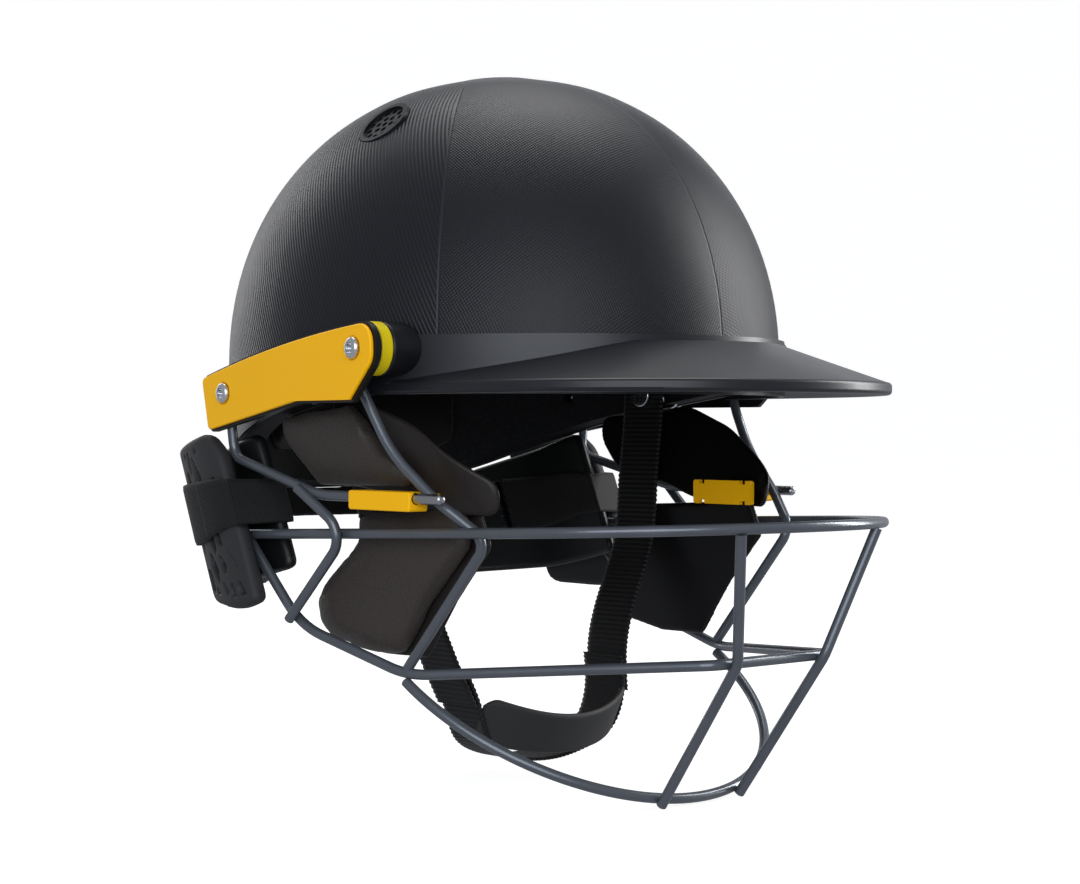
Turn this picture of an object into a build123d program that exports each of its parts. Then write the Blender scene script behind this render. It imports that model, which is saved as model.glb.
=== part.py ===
from build123d import *
from math import acos, atan, atan2, cos, degrees, hypot, radians, sin, sqrt, tan
import os

os.makedirs("parts", exist_ok=True)

# Cricket helmet with a steel face guard, cheek pads, neck guards and a chin strap.
# Millimetres, +Z up, the helmet faces -Y and the wearer's left is +X.
# The origin is the middle of the head opening, level with the lower edge of the peak band.
# Right-hand pieces are made first; left-hand ones are their mirror images.

# Driving dimensions of the shell
shell_length = 266.4
shell_width = 213.2
shell_height = 123.6
shell_set_back = 4.4
shell_wall = 3.0
skirt_share = 0.5016
skirt_tuck = 1.6
dome_power = 2.1

# Driving dimensions of the wire guard
wire_d = 4.2
weld_bite = 0.3
top_bar_radius_share = 0.8724
top_bar_centre_share = -0.6757
top_bar_rear_shares = (0.9428, 0.4279)
top_bar_level_share = -0.5696
top_bar_slope = 0.0327
chin_loop_share = 0.8208
chin_loop_slope = 0.62

# Driving dimensions of the fixings
screw_d = 5.0
screw_head_d = 8.6
screw_head_h = 2.4
star_recess_d = 3.6
boss_d = 21.0
boss_length = 10.0
spacer_length = 5.2
washer_length = 1.3
backing_thickness = 2.4
plate_thickness = 1.8
plate_toe = 5.0
fit_gap = 0.3
overrun = 40.0

half_length = shell_length / 2
half_width = shell_width / 2
width_ratio = shell_width / shell_length
skirt_depth = skirt_share * shell_height
wire_r = wire_d / 2
weld_pitch = wire_d - weld_bite


def keep(piece, name):
    """Labels a finished piece and writes its STEP file."""
    piece.label = name
    export_step(piece, "parts/" + name + ".step")


def keep_pair(piece, name):
    """Writes the right-hand piece and its mirror image on the left."""
    keep(piece, name + "_right")
    with BuildPart() as twin:
        mirror(piece, about=Plane.YZ)
    keep(twin.part, name + "_left")


def keep_both(piece, name):
    """Writes the right-hand and left-hand twins of a fixing as one node."""
    with BuildPart() as twins:
        add(piece)
        mirror(piece, about=Plane.YZ)
    keep(twins.part, name)


def spot(x_share, y_share, z_share):
    """A place given in shares of the shell's half width, half length and height."""
    return Vector(x_share * half_width, y_share * half_length, z_share * shell_height)


# Shell: a moulded dome, square-shouldered in profile and oval in plan
profile_steps = 10


def dome_profile(radius, height):
    """Points of the dome's profile, from the band line up to the crown."""
    points = []
    for step in range(profile_steps + 1):
        turn = radians(90 * step / profile_steps)
        out = radius * cos(turn) ** (2 / dome_power)
        rise = height * sin(turn) ** (2 / dome_power)
        points.append((out, rise))
    return points


def dome(radius, height, foot):
    """A solid oval dome whose skirt runs down to the foot level."""
    wall = dome_profile(radius, height)
    tuck = skirt_tuck * -foot / skirt_depth
    with BuildPart() as solid:
        with BuildSketch(Plane.YZ):
            with BuildLine():
                Spline(*wall, tangents=((0, 1), (-1, 0)))
                Line((0, height), (0, foot))
                Line((0, foot), (radius - tuck, foot))
                ThreePointArc((radius - tuck, foot), (radius - tuck / 4, foot / 2), (radius, 0))
            make_face()
        revolve(axis=Axis.Z)
        scale(by=(width_ratio, 1, 1))
    with BuildPart(Plane.XY) as placed:
        add(solid.part.moved(Location((0, shell_set_back, 0))))
    return placed.part


# The lower edge of the shell in side view: level over the face, falling behind the ears
rim_shares = [
    (-1.30, -0.085), (-0.36, -0.10), (0.0, -0.142), (0.26, -0.190), (0.42, -0.238),
    (0.63, -0.314), (0.82, -0.400), (0.95, -0.437), (1.30, -0.450),
]


def under_rim(drop, depth=skirt_depth):
    """The space under the lower edge, from the edge moved down by drop."""
    rim = [(y * half_length, z * shell_height - drop) for y, z in rim_shares]
    low = -depth - overrun
    with BuildPart() as space:
        with BuildSketch(Plane.YZ):
            with BuildLine():
                Spline(*rim)
                Polyline(rim[-1], (rim[-1][0], low), (rim[0][0], low), rim[0])
            make_face()
        extrude(amount=shell_width, both=True)
    return space.part


shell_outside = dome(half_length, shell_height, -skirt_depth)
shell_inside = dome(half_length - shell_wall, shell_height - shell_wall, -skirt_depth - overrun)

# Round vents, one each side of the crown, sunk in a stepped seat
vent_d = 24.0
vent_seat_depth = 2.2
vent_hole_d = 20.0
vent_x_share = 0.625
vent_y_share = 0.0
vent_lean = 46.0


def vent_plane(sink):
    """The plane of the right-hand vent's mouth, moved inwards by sink."""
    x_place = -vent_x_share * half_width
    y_place = vent_y_share * half_length
    out = hypot(x_place / half_width, (y_place - shell_set_back) / half_length)
    z_place = shell_height * (1 - out ** dome_power) ** (1 / dome_power)
    lean = radians(vent_lean)
    outward = Vector(-sin(lean), 0, cos(lean))
    return Plane(Vector(x_place, y_place, z_place) - outward * sink, x_dir=(0, 1, 0), z_dir=outward)


with BuildPart() as vent_cut:
    with BuildSketch(vent_plane(vent_seat_depth)):
        Circle(vent_d / 2 + fit_gap)
    extrude(amount=overrun)
    with BuildSketch(vent_plane(vent_seat_depth)):
        Circle(vent_hole_d / 2)
    extrude(amount=-shell_wall * 3)
    mirror(about=Plane.YZ)

# Side fixings: a boss on the band, a yellow spacer, washers and the plates over them
front_screw_y = -49.0
front_screw_z = 3.0
toe = radians(plate_toe)
outward = Vector(-cos(toe), sin(toe), 0)
forward = Vector(-sin(toe), -cos(toe), 0)
wall_share = sqrt(1 - ((front_screw_y - shell_set_back) / half_length) ** 2)
stack_root = Vector(-half_width * wall_share, front_screw_y, front_screw_z)
spacer_start = boss_length
washer_start = spacer_start + spacer_length
backing_start = washer_start + 2 * washer_length
plate_start = backing_start + backing_thickness
head_start = plate_start + plate_thickness
hole_r = screw_d / 2 + fit_gap / 2


def side_plane(height):
    """A plane square to the front screw, at a height above the shell's wall."""
    return Plane(stack_root + outward * height, x_dir=forward, z_dir=outward)


def backing_face_x(y_place):
    """X of the backing plate's inner face at a place along the helmet."""
    root = stack_root + outward * backing_start
    return root.X + tan(toe) * (y_place - root.Y)


# The rear screw and the plate's corners are shares of the pitch between the two screws
screw_pitch = 100.5
rear_screw_shares = (-0.987, -0.158)
rear_screw = (rear_screw_shares[0] * screw_pitch, rear_screw_shares[1] * screw_pitch)
plate_corner_shares = {
    "tail_top": (-1.175, -0.095),
    "top_middle": (-0.58, 0.020),
    "nose_top": (0.115, 0.098),
    "nose_low": (0.122, -0.050),
    "chin": (-0.035, -0.197),
    "belly": (-0.42, -0.197),
    "tail_low": (-1.120, -0.312),
}
corner = {}
for name, (forward_share, up_share) in plate_corner_shares.items():
    corner[name] = (forward_share * screw_pitch, up_share * screw_pitch)
plate_nose_r = 8.0
plate_corner_r = 2.4
backing_margin = 1.0


def plate_outline(plane, margin):
    """The side plate's outline with rounded corners, grown by a margin."""
    with BuildSketch(plane) as outline:
        with BuildLine():
            ThreePointArc(corner["tail_top"], corner["top_middle"], corner["nose_top"])
            Polyline(
                corner["nose_top"],
                corner["nose_low"],
                corner["chin"],
                corner["belly"],
                corner["tail_low"],
                corner["tail_top"],
            )
        make_face()
        by_front = outline.vertices().sort_by(Axis.X)
        fillet(by_front[-2:], plate_nose_r)
        fillet(outline.vertices().sort_by(Axis.X)[:2], plate_corner_r)
        if margin > 0:
            offset(amount=margin)
    return outline.sketch


def screw_places():
    """Front and rear screw places in the side plane."""
    return [(0, 0), rear_screw]


def ring_on_screw(start, length, radius):
    """A turned ring round the front screw."""
    with BuildPart() as ring:
        with BuildSketch(side_plane(start)):
            Circle(radius)
            Circle(hole_r, mode=Mode.SUBTRACT)
        extrude(amount=length)
    return ring.part


with BuildPart() as screw_bores:
    with BuildSketch(side_plane(0)):
        with Locations(screw_places()):
            Circle(hole_r)
    extrude(amount=overrun / 2, both=True)
    mirror(about=Plane.YZ)

# Strap rivets: a steel pin through the shell each side, hidden behind the side plate
strap_y = -1.0
pivot_z = -12.0
pin_d = 6.0
pin_head_d = 11.0
pin_head_thickness = 1.2
pin_shank_d = 4.0
pin_reach_share = 0.773
pin_collar_d = 12.0
pin_collar_thickness = 1.4
pivot_share = sqrt(1 - ((strap_y - shell_set_back) / half_length) ** 2)
pivot_wall_x = half_width * pivot_share
pin_reach = pin_reach_share * half_width
with BuildPart() as strap_rivet:
    with BuildSketch(Plane.YZ.offset(-pivot_wall_x - fit_gap - pin_head_thickness)):
        with Locations((strap_y, pivot_z)):
            Circle(pin_head_d / 2)
    extrude(amount=pin_head_thickness)
    with BuildSketch(Plane.YZ.offset(-pivot_wall_x - fit_gap)):
        with Locations((strap_y, pivot_z)):
            Circle(pin_shank_d / 2)
    extrude(amount=pivot_wall_x + fit_gap - pin_reach)
    with BuildSketch(Plane.YZ.offset(-pivot_wall_x + shell_wall)):
        with Locations((strap_y, pivot_z)):
            Circle(pin_collar_d / 2)
    extrude(amount=pin_collar_thickness)
    with BuildSketch(Plane.YZ.offset(-pivot_wall_x + shell_wall)):
        with Locations((strap_y, pivot_z)):
            Circle(pin_d / 2)
    extrude(amount=pivot_wall_x - shell_wall - pin_reach)
    with BuildSketch(Plane.YZ.offset(-pin_reach)):
        with Locations((strap_y, pivot_z)):
            Circle(pin_head_d / 2)
    extrude(amount=-pin_head_thickness)
    fillet(strap_rivet.faces().sort_by(Axis.X)[-1].edges(), pin_head_thickness / 2)
keep_both(strap_rivet.part, "strap_rivets")

with BuildPart() as rivet_hole:
    with BuildSketch(Plane.YZ.offset(-half_width - fit_gap)):
        with Locations((strap_y, pivot_z)):
            Circle(pin_shank_d / 2)
    extrude(amount=shell_wall * 2)
    mirror(about=Plane.YZ)
with BuildPart() as rivet_slot:
    with BuildSketch(Plane.YZ):
        with Locations((strap_y, pivot_z)):
            Circle(pin_collar_d / 2 + fit_gap)
        with Locations((strap_y, pivot_z - pin_collar_d)):
            Rectangle(pin_collar_d + 2 * fit_gap, 2 * pin_collar_d)
    extrude(amount=shell_width, both=True)


with BuildPart() as vent_ways:
    with BuildSketch(vent_plane(0)):
        Circle(vent_hole_d / 2)
    extrude(amount=-overrun)
    mirror(about=Plane.YZ)

with BuildPart() as outer_shell:
    add(shell_outside)
    add(shell_inside, mode=Mode.SUBTRACT)
    add(under_rim(0), mode=Mode.SUBTRACT)
    add(vent_cut.part, mode=Mode.SUBTRACT)
    add(screw_bores.part, mode=Mode.SUBTRACT)
    add(rivet_hole.part, mode=Mode.SUBTRACT)
keep(outer_shell.part, "outer_shell")

# Vent inserts: a moulded disc pierced by small holes in rings, with a raised rim
vent_disc_thickness = 1.6
vent_mesh_d = 2.6
vent_ring_pitch = 3.9
vent_rings = 2
vent_rim_width = 2.0
vent_rim_rise = 0.6
with BuildPart() as vent_insert:
    with BuildSketch(vent_plane(vent_seat_depth)):
        Circle(vent_d / 2)
    extrude(amount=vent_seat_depth + vent_rim_rise)
    with BuildSketch(vent_plane(vent_seat_depth - vent_disc_thickness)):
        Circle(vent_d / 2 - vent_rim_width)
    extrude(amount=vent_disc_thickness + vent_rim_rise, mode=Mode.SUBTRACT)
    with BuildSketch(vent_plane(vent_seat_depth)):
        Circle(vent_mesh_d / 2)
        for ring in range(1, vent_rings + 1):
            with PolarLocations(ring * vent_ring_pitch, 6 * ring):
                Circle(vent_mesh_d / 2)
    extrude(amount=vent_disc_thickness, mode=Mode.SUBTRACT)
keep_pair(vent_insert.part, "vent_insert")

# Peak: a band round the front of the shell and a brim that grows out of it
band_thickness = 2.4
band_top = 8.5
seat_gap = 0.2
peak_arc_shares = (0.9099, -0.6682)
peak_rear_shares = (0.9615, -0.2703)
peak_arc_radius = peak_arc_shares[0] * half_width
peak_arc_centre_y = peak_arc_shares[1] * half_length
peak_rear_x = peak_rear_shares[0] * half_width
peak_rear_y = peak_rear_shares[1] * half_length
peak_edge_low = -14.5
peak_edge_high = -9.5
peak_crown_level = 6.0
peak_crown_inset = 45.0
peak_skin = 4.6
peak_lip = 4.0
peak_edge_round = 1.6


def tangent_turn(x_place, y_place, radius):
    """Turn of the point where a line from a place touches a circle about zero."""
    return atan2(y_place, x_place) - acos(radius / hypot(x_place, y_place))


def peak_outline(inset, level):
    """The brim's plan outline, drawn in by inset, at a level."""
    front = peak_arc_radius - inset
    rear_x = peak_rear_x - inset / 2
    turn = tangent_turn(rear_x, peak_rear_y - peak_arc_centre_y, front)
    side_x = front * cos(turn)
    side_y = peak_arc_centre_y + front * sin(turn)
    with BuildSketch(Plane.XY.offset(level)) as outline:
        with BuildLine():
            ThreePointArc((-side_x, side_y), (0, peak_arc_centre_y - front), (side_x, side_y))
            Polyline((side_x, side_y), (rear_x, peak_rear_y), (-rear_x, peak_rear_y), (-side_x, side_y))
        make_face()
    return outline.sketch


band_outside = dome(half_length + seat_gap + band_thickness, shell_height, -skirt_depth)
band_inside = dome(half_length + seat_gap, shell_height, -skirt_depth - overrun)
with BuildPart() as peak_band:
    add(band_outside)
    with BuildSketch(Plane.YZ):
        with BuildLine():
            Polyline(
                (-shell_length, peak_edge_low),
                (-shell_length, band_top),
                (peak_rear_y, band_top),
                (peak_rear_y, peak_edge_low),
                close=True,
            )
        make_face()
    extrude(amount=shell_width, both=True, mode=Mode.INTERSECT)

with BuildPart() as peak:
    extrude(peak_outline(0, peak_edge_low), amount=peak_edge_high - peak_edge_low)
    fillet(peak.edges().filter_by(Plane.XY).sort_by(Axis.Y)[:-2], radius=peak_edge_round)
    loft([peak_outline(peak_edge_round, peak_edge_high), peak_outline(peak_crown_inset, peak_crown_level)])
    loft(
        [
            peak_outline(peak_lip, peak_edge_low),
            peak_outline(peak_crown_inset + peak_lip, peak_crown_level - peak_skin),
        ],
        mode=Mode.SUBTRACT,
    )
    add(peak_band.part)
    add(band_inside, mode=Mode.SUBTRACT)
    add(screw_bores.part, mode=Mode.SUBTRACT)
keep(peak.part, "peak")


boss_round = 1.2
with BuildPart() as temple_boss:
    with BuildSketch(side_plane(-shell_wall)):
        Circle(boss_d / 2)
    extrude(amount=shell_wall + boss_length)
    fillet(temple_boss.faces().sort_by(Axis.X)[0].edges(), boss_round)
    add(band_outside, mode=Mode.SUBTRACT)
    with BuildSketch(side_plane(0)):
        Circle(hole_r)
    extrude(amount=overrun, both=True, mode=Mode.SUBTRACT)
keep_pair(temple_boss.part, "temple_boss")

spacer_round = 0.8
with BuildPart() as spacer_ring:
    add(ring_on_screw(spacer_start, spacer_length, boss_d / 2))
    outer_edges = spacer_ring.edges().filter_by(GeomType.CIRCLE).sort_by(SortBy.RADIUS)[-2:]
    fillet(outer_edges, spacer_round)
keep_pair(spacer_ring.part, "spacer_ring")

washer_margin = 0.6
with BuildPart() as washers:
    for count in range(2):
        add(ring_on_screw(washer_start + count * washer_length, washer_length, boss_d / 2 - washer_margin))
keep_both(washers.part, "washers")

with BuildPart() as backing_plate:
    extrude(plate_outline(side_plane(backing_start), backing_margin), amount=backing_thickness)
    with BuildSketch(side_plane(backing_start)):
        with Locations(screw_places()):
            Circle(hole_r)
    extrude(amount=backing_thickness, mode=Mode.SUBTRACT)
keep_pair(backing_plate.part, "backing_plate")

plate_round = 0.6
head_seat_d = screw_head_d + 4 * fit_gap
head_seat_depth = 0.5
with BuildPart() as side_plate:
    extrude(plate_outline(side_plane(plate_start), 0), amount=plate_thickness)
    fillet(side_plate.faces().sort_by(Axis.X)[0].edges(), plate_round)
    with BuildSketch(side_plane(head_start)):
        with Locations(screw_places()):
            Circle(head_seat_d / 2)
    extrude(amount=-head_seat_depth, mode=Mode.SUBTRACT)
    with BuildSketch(side_plane(plate_start)):
        with Locations(screw_places()):
            Circle(hole_r)
    extrude(amount=plate_thickness, mode=Mode.SUBTRACT)
keep_pair(side_plate.part, "side_plate")

# The rear screw passes a short black post between the backing plate and the shell
post_d = 8.4
with BuildPart() as rear_post:
    with BuildSketch(side_plane(-shell_wall)):
        with Locations(rear_screw):
            Circle(post_d / 2)
            Circle(hole_r, mode=Mode.SUBTRACT)
    extrude(amount=shell_wall + backing_start)
    add(band_inside, mode=Mode.SUBTRACT)
keep_both(rear_post.part, "rear_posts")

# Screws: round heads with a six-lobed recess, and a flanged nut inside the shell
nut_flange_d = 13.0
nut_flange_thickness = 1.4
nut_barrel_d = 7.6
nut_barrel_length = 5.5
lobe_d = 1.3
recess_depth = 1.3
head_round = 1.5


def wall_depth(place):
    """How far the shell's inner wall lies inside the side plane at a screw."""
    spot_in_plane = side_plane(0).from_local_coords(Vector(place[0], place[1], 0))
    share = sqrt(1 - ((spot_in_plane.Y - shell_set_back) / half_length) ** 2)
    outer_gap = half_width * share + spot_in_plane.X
    return outer_gap - shell_wall * width_ratio


def button_screw(place, reach):
    """A button-head screw at a place in the side plane, reaching inwards."""
    base = head_start - head_seat_depth
    with BuildPart() as screw:
        with BuildSketch(side_plane(base)):
            with Locations(place):
                Circle(screw_head_d / 2)
        extrude(amount=screw_head_h)
        fillet(screw.faces().sort_by(Axis.X)[0].edges(), head_round)
        with BuildSketch(side_plane(base)):
            with Locations(place):
                Circle(screw_d / 2)
        extrude(amount=-(base - reach))
        with BuildSketch(side_plane(base + screw_head_h)):
            with Locations(place):
                Circle(star_recess_d / 2)
                with PolarLocations(star_recess_d / 2, 6):
                    Circle(lobe_d / 2)
        extrude(amount=-recess_depth, mode=Mode.SUBTRACT)
    return screw.part


def flanged_nut(place, depth):
    """A flanged nut whose flange lies against the shell's inner wall."""
    with BuildPart() as nut:
        with BuildSketch(side_plane(depth - seat_gap)):
            with Locations(place):
                Circle(nut_flange_d / 2)
        extrude(amount=-nut_flange_thickness)
        with BuildSketch(side_plane(depth - seat_gap)):
            with Locations(place):
                Circle(nut_barrel_d / 2)
        extrude(amount=-nut_barrel_length)
        with BuildSketch(side_plane(depth)):
            with Locations(place):
                Circle(screw_d / 2 - thread_bite)
        extrude(amount=-nut_barrel_length - nut_flange_thickness, mode=Mode.SUBTRACT)
    return nut.part


thread_bite = 0.1
front_nut_setback = 3.0
rear_nut_setback = 1.8
front_depth = -shell_wall * width_ratio - front_nut_setback
rear_depth = wall_depth(rear_screw) - rear_nut_setback
keep_both(button_screw((0, 0), front_depth - nut_barrel_length), "front_screws")
keep_both(button_screw(rear_screw, rear_depth - nut_barrel_length), "rear_screws")
with BuildPart() as shell_nuts:
    add(flanged_nut((0, 0), front_depth))
    add(flanged_nut(rear_screw, rear_depth))
keep_both(shell_nuts.part, "shell_nuts")
with BuildPart() as nut_pockets:
    for place, depth in (((0, 0), front_depth), (rear_screw, rear_depth)):
        with BuildSketch(side_plane(depth + overrun / 2)):
            with Locations(place):
                Circle(nut_flange_d / 2 + fit_gap)
        extrude(amount=-overrun / 2 - nut_barrel_length - fit_gap)
    mirror(about=Plane.YZ)

# Face guard: round steel bars, each bent cold and welded where it touches the next.
# Every crossing is one weld pitch apart, so the bars bite into each other by weld_bite.


def bent_line(route, bends):
    """A centre line through a route, each corner rounded by its bend, a share of the half length."""
    with BuildLine() as path:
        FilletPolyline(*route, radius=[share * half_length for share in bends])
    return path.wire()


def round_bar(line):
    """A round bar swept along its centre line."""
    with BuildPart() as bar:
        with BuildSketch(Plane(origin=line @ 0, z_dir=line % 0)):
            Circle(wire_r)
        sweep(path=line)
    return bar.part


def beside(line, share, side, pitch=weld_pitch):
    """A place part way along a bar, stepped off its centre line by one pitch."""
    return line.position_at(share) + Vector(side).normalized() * pitch


# Top bar: level in front, with straight arms running back past the ears
top_bar_radius = top_bar_radius_share * half_width
top_bar_centre_y = top_bar_centre_share * half_length
top_bar_rear_x = top_bar_rear_shares[0] * half_width
top_bar_rear_y = top_bar_rear_shares[1] * half_length
top_bar_level = top_bar_level_share * shell_height
arm_reach_y = top_bar_rear_y - top_bar_centre_y
arm_turn = tangent_turn(top_bar_rear_x, arm_reach_y, top_bar_radius)
arm_x = top_bar_radius * cos(arm_turn)
arm_y = top_bar_centre_y + top_bar_radius * sin(arm_turn)
top_plane = Plane(origin=(0, 0, top_bar_level), x_dir=(1, 0, 0), z_dir=(0, top_bar_slope, 1))
with BuildLine(top_plane) as top_path:
    Line((-top_bar_rear_x, top_bar_rear_y), (-arm_x, arm_y))
    ThreePointArc((-arm_x, arm_y), (0, top_bar_centre_y - top_bar_radius), (arm_x, arm_y))
    Line((arm_x, arm_y), (top_bar_rear_x, top_bar_rear_y))
top_line = top_path.wire()
keep(round_bar(top_line), "top_bar")

# Lower ring: rises behind the ears to butt under the arms of the top bar
ring_shares = ((-0.915, 0.120, -0.878), (-0.844, -0.330, -1.011), (-0.310, -1.164, -0.943))
ring_bend_shares = (0.3378, 0.3003, 0.0601, 0.0601, 0.3003, 0.3378)
ring_rear_share = 0.014
ring_rear = beside(top_line, ring_rear_share, (0, 0, -1), wire_r - weld_bite)
ring_right = [ring_rear] + [spot(*shares) for shares in ring_shares]
ring_left = [Vector(-place.X, place.Y, place.Z) for place in reversed(ring_right)]
ring_line = bent_line(ring_right + ring_left, ring_bend_shares)
keep(round_bar(ring_line), "lower_ring")

# Chin loop: a half round hung under the ring and sloping down to the front
loop_end_share = 0.203
loop_end = beside(ring_line, loop_end_share, (0, 0, -1), weld_pitch - weld_bite)
loop_r = -loop_end.X
loop_plane = Plane(origin=(0, loop_end.Y, loop_end.Z), x_dir=(1, 0, 0), z_dir=(0, -chin_loop_slope, 1))
with BuildLine(loop_plane) as loop_path:
    ThreePointArc((-loop_r, 0), (0, -chin_loop_share * half_width), (loop_r, 0))
loop_line = loop_path.wire()
keep(round_bar(loop_line), "chin_loop")

# Uprights: from under the top bar, outside the ring, to the outside of the chin loop
upright_top_share = 0.431
upright_ring_share = 0.453
upright_loop_share = 0.418
upright_bend_share = 0.0901
upright_bend_ease = 0.7
upright_overlap = 0.3
upright_top = beside(top_line, upright_top_share, (0, 0, -1), wire_r - weld_bite)
upright_mid = beside(ring_line, upright_ring_share, (0, -1, 0), weld_pitch + upright_bend_ease)
upright_low = beside(loop_line, upright_loop_share, (0, -0.80, -0.60))
upright_end = upright_low + (upright_low - upright_mid).normalized() * upright_overlap
upright_line = bent_line([upright_top, upright_mid, upright_end], (upright_bend_share,))
keep_pair(round_bar(upright_line), "upright")

# Face bars: from behind the side plates, along the cheek pads, then back to the ring
face_top_shares = (-0.2477, 0.0081)
face_shares = ((-0.994, -0.285, -0.130), (-0.966, -0.375, -0.303), (-0.913, -0.525, -0.449))
face_bend_shares = (0.3003, 0.4505, 0.4505, 0.0526)
face_crossing_share = 0.2481
face_drop = 3.4
face_swing = 2.3
face_ring_share = 0.2045
face_top_y = face_top_shares[0] * half_length
face_top_z = face_top_shares[1] * shell_height
face_top = Vector(backing_face_x(face_top_y) + wire_r - weld_bite, face_top_y, face_top_z)
face_crossing = beside(top_line, face_crossing_share, (1, 0, 0), weld_pitch + face_swing)
face_corner = face_crossing - Vector(0, 0, face_drop)
face_end = beside(ring_line, face_ring_share, (0, 0, 1), wire_r - weld_bite)
face_route = [face_top] + [spot(*shares) for shares in face_shares] + [face_corner, face_end]
face_line = bent_line(face_route, face_bend_shares)
keep_pair(round_bar(face_line), "face_bar")

# Side bars: from behind the rear of the side plate, forward to the outside of the face bar
side_top_shares = (0.4354, -0.0971)
side_shares = ((-0.952, 0.428, -0.320), (-0.962, -0.023, -0.441))
side_bend_shares = (0.0601, 0.4505)
side_crossing_share = 0.432
side_tip_reach = 9.0
side_tip_round = 1.4
side_top_y = side_top_shares[0] * half_length
side_top_z = side_top_shares[1] * shell_height
side_top = Vector(backing_face_x(side_top_y) + wire_r - weld_bite, side_top_y, side_top_z)
side_route = [side_top] + [spot(*shares) for shares in side_shares]
side_cross = beside(face_line, side_crossing_share, (-1, 0, 0))
side_end = side_cross + (side_cross - side_route[-1]).normalized() * side_tip_reach
side_line = bent_line(side_route + [side_end], side_bend_shares)
with BuildPart() as side_bar:
    add(round_bar(side_line))
    fillet(side_bar.faces().sort_by(Axis.Y)[0].edges(), side_tip_round)
keep_pair(side_bar.part, "side_bar")

# Vee bars: short bars from the side bar, across the arm, to the ring
vee_top_share = 0.485
vee_bend_share = 0.1285
vee_low_share = 0.083
vee_bend_turn_share = 0.0751
vee_overlap = 1.2
vee_top_touch = beside(side_line, vee_top_share, (-1, 0, 0))
vee_mid = beside(top_line, vee_bend_share, (-1, 0, 0))
vee_low = beside(ring_line, vee_low_share, (-1, 0, 0))
vee_top = vee_top_touch + (vee_top_touch - vee_mid).normalized() * vee_overlap
vee_end = vee_low + (vee_low - vee_mid).normalized() * vee_overlap
vee_line = bent_line([vee_top, vee_mid, vee_end], (vee_bend_turn_share,))
keep_pair(round_bar(vee_line), "vee_bar")

# Cheek pads: padded leatherette over foam, domed outside, with a dark lining on the face side
upper_pad_tilt = 11.6
lower_pad_toe = 2.5
pad_depth = 7.6
pad_lining_depth = 2.4
pad_corner_r = 4.0
upper_pad_origin_shares = (-0.921, -0.165, -0.285)
lower_pad_origin_shares = (-0.829, -0.300, -0.720)
upper_pad_shares = (
    (0.240, -0.180), (0.228, -0.262), (0.150, -0.350), (0.088, -0.4225),
    (-0.440, -0.4225), (-0.252, -0.283), (-0.140, -0.135),
)
upper_lining_shares = upper_pad_shares[:4] + ((-0.470, -0.4225), (-0.292, -0.283), (-0.180, -0.135))
lower_pad_shares = (
    (-0.060, -0.492), (-0.050, -0.582), (0.095, -0.724), (0.142, -0.800), (0.128, -0.885),
    (0.060, -0.930), (-0.130, -0.968), (-0.262, -0.965), (-0.400, -0.770), (-0.560, -0.590),
    (-0.530, -0.456), (-0.330, -0.480),
)
lower_lining_shares = lower_pad_shares[:7] + (
    (-0.330, -0.968), (-0.462, -0.770), (-0.612, -0.590), (-0.560, -0.456), (-0.330, -0.480),
)
crown_steps = ((0, 0.94), (0.22, 1.0), (0.55, 1.0), (0.80, 0.955), (0.94, 0.86), (1.0, 0.66))
upper_normal = Vector(-cos(radians(upper_pad_tilt)), 0, -sin(radians(upper_pad_tilt)))
lower_normal = Vector(-cos(radians(lower_pad_toe)), -sin(radians(lower_pad_toe)), 0)


def pad_outline(plane, shares, size):
    """A pad's rounded outline on a plane, scaled about its middle."""
    places = []
    for y_share, z_share in shares:
        place = Vector(plane.origin.X, y_share * half_length, z_share * shell_height)
        local = plane.to_local_coords(place)
        places.append((local.X, local.Y))
    with BuildSketch(plane) as outline:
        with BuildLine():
            Polyline(*places, close=True)
        make_face()
        fillet(outline.vertices(), pad_corner_r)
    face = outline.sketch.faces()[0]
    middle = face.center()
    return face.translate(-middle).scale(size).translate(middle)


def pad_plane(origin_shares, normal, sink):
    """The plane of a pad's face, moved inwards by sink."""
    return Plane(spot(*origin_shares) - normal * sink, x_dir=(0, -1, 0), z_dir=normal)


def domed_pad(origin_shares, normal, shares, start, depth, steps):
    """A cushion lofted from its back to its crown."""
    sections = []
    for rise, size in steps:
        plane = pad_plane(origin_shares, normal, start + depth * (1 - rise))
        sections.append(pad_outline(plane, shares, size))
    with BuildPart() as pad:
        loft(sections)
    return pad.part


lining_steps = ((0, 0.90), (0.45, 0.97), (1.0, 0.975))
for side_name, origin_shares, normal, shares, lining_shares in (
    ("upper", upper_pad_origin_shares, upper_normal, upper_pad_shares, upper_lining_shares),
    ("lower", lower_pad_origin_shares, lower_normal, lower_pad_shares, lower_lining_shares),
):
    keep_pair(domed_pad(origin_shares, normal, shares, 0, pad_depth, crown_steps), "cheek_pad_" + side_name)
    lining = domed_pad(origin_shares, normal, lining_shares, pad_depth + fit_gap, pad_lining_depth, lining_steps)
    keep_pair(lining, "cheek_lining_" + side_name)

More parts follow.
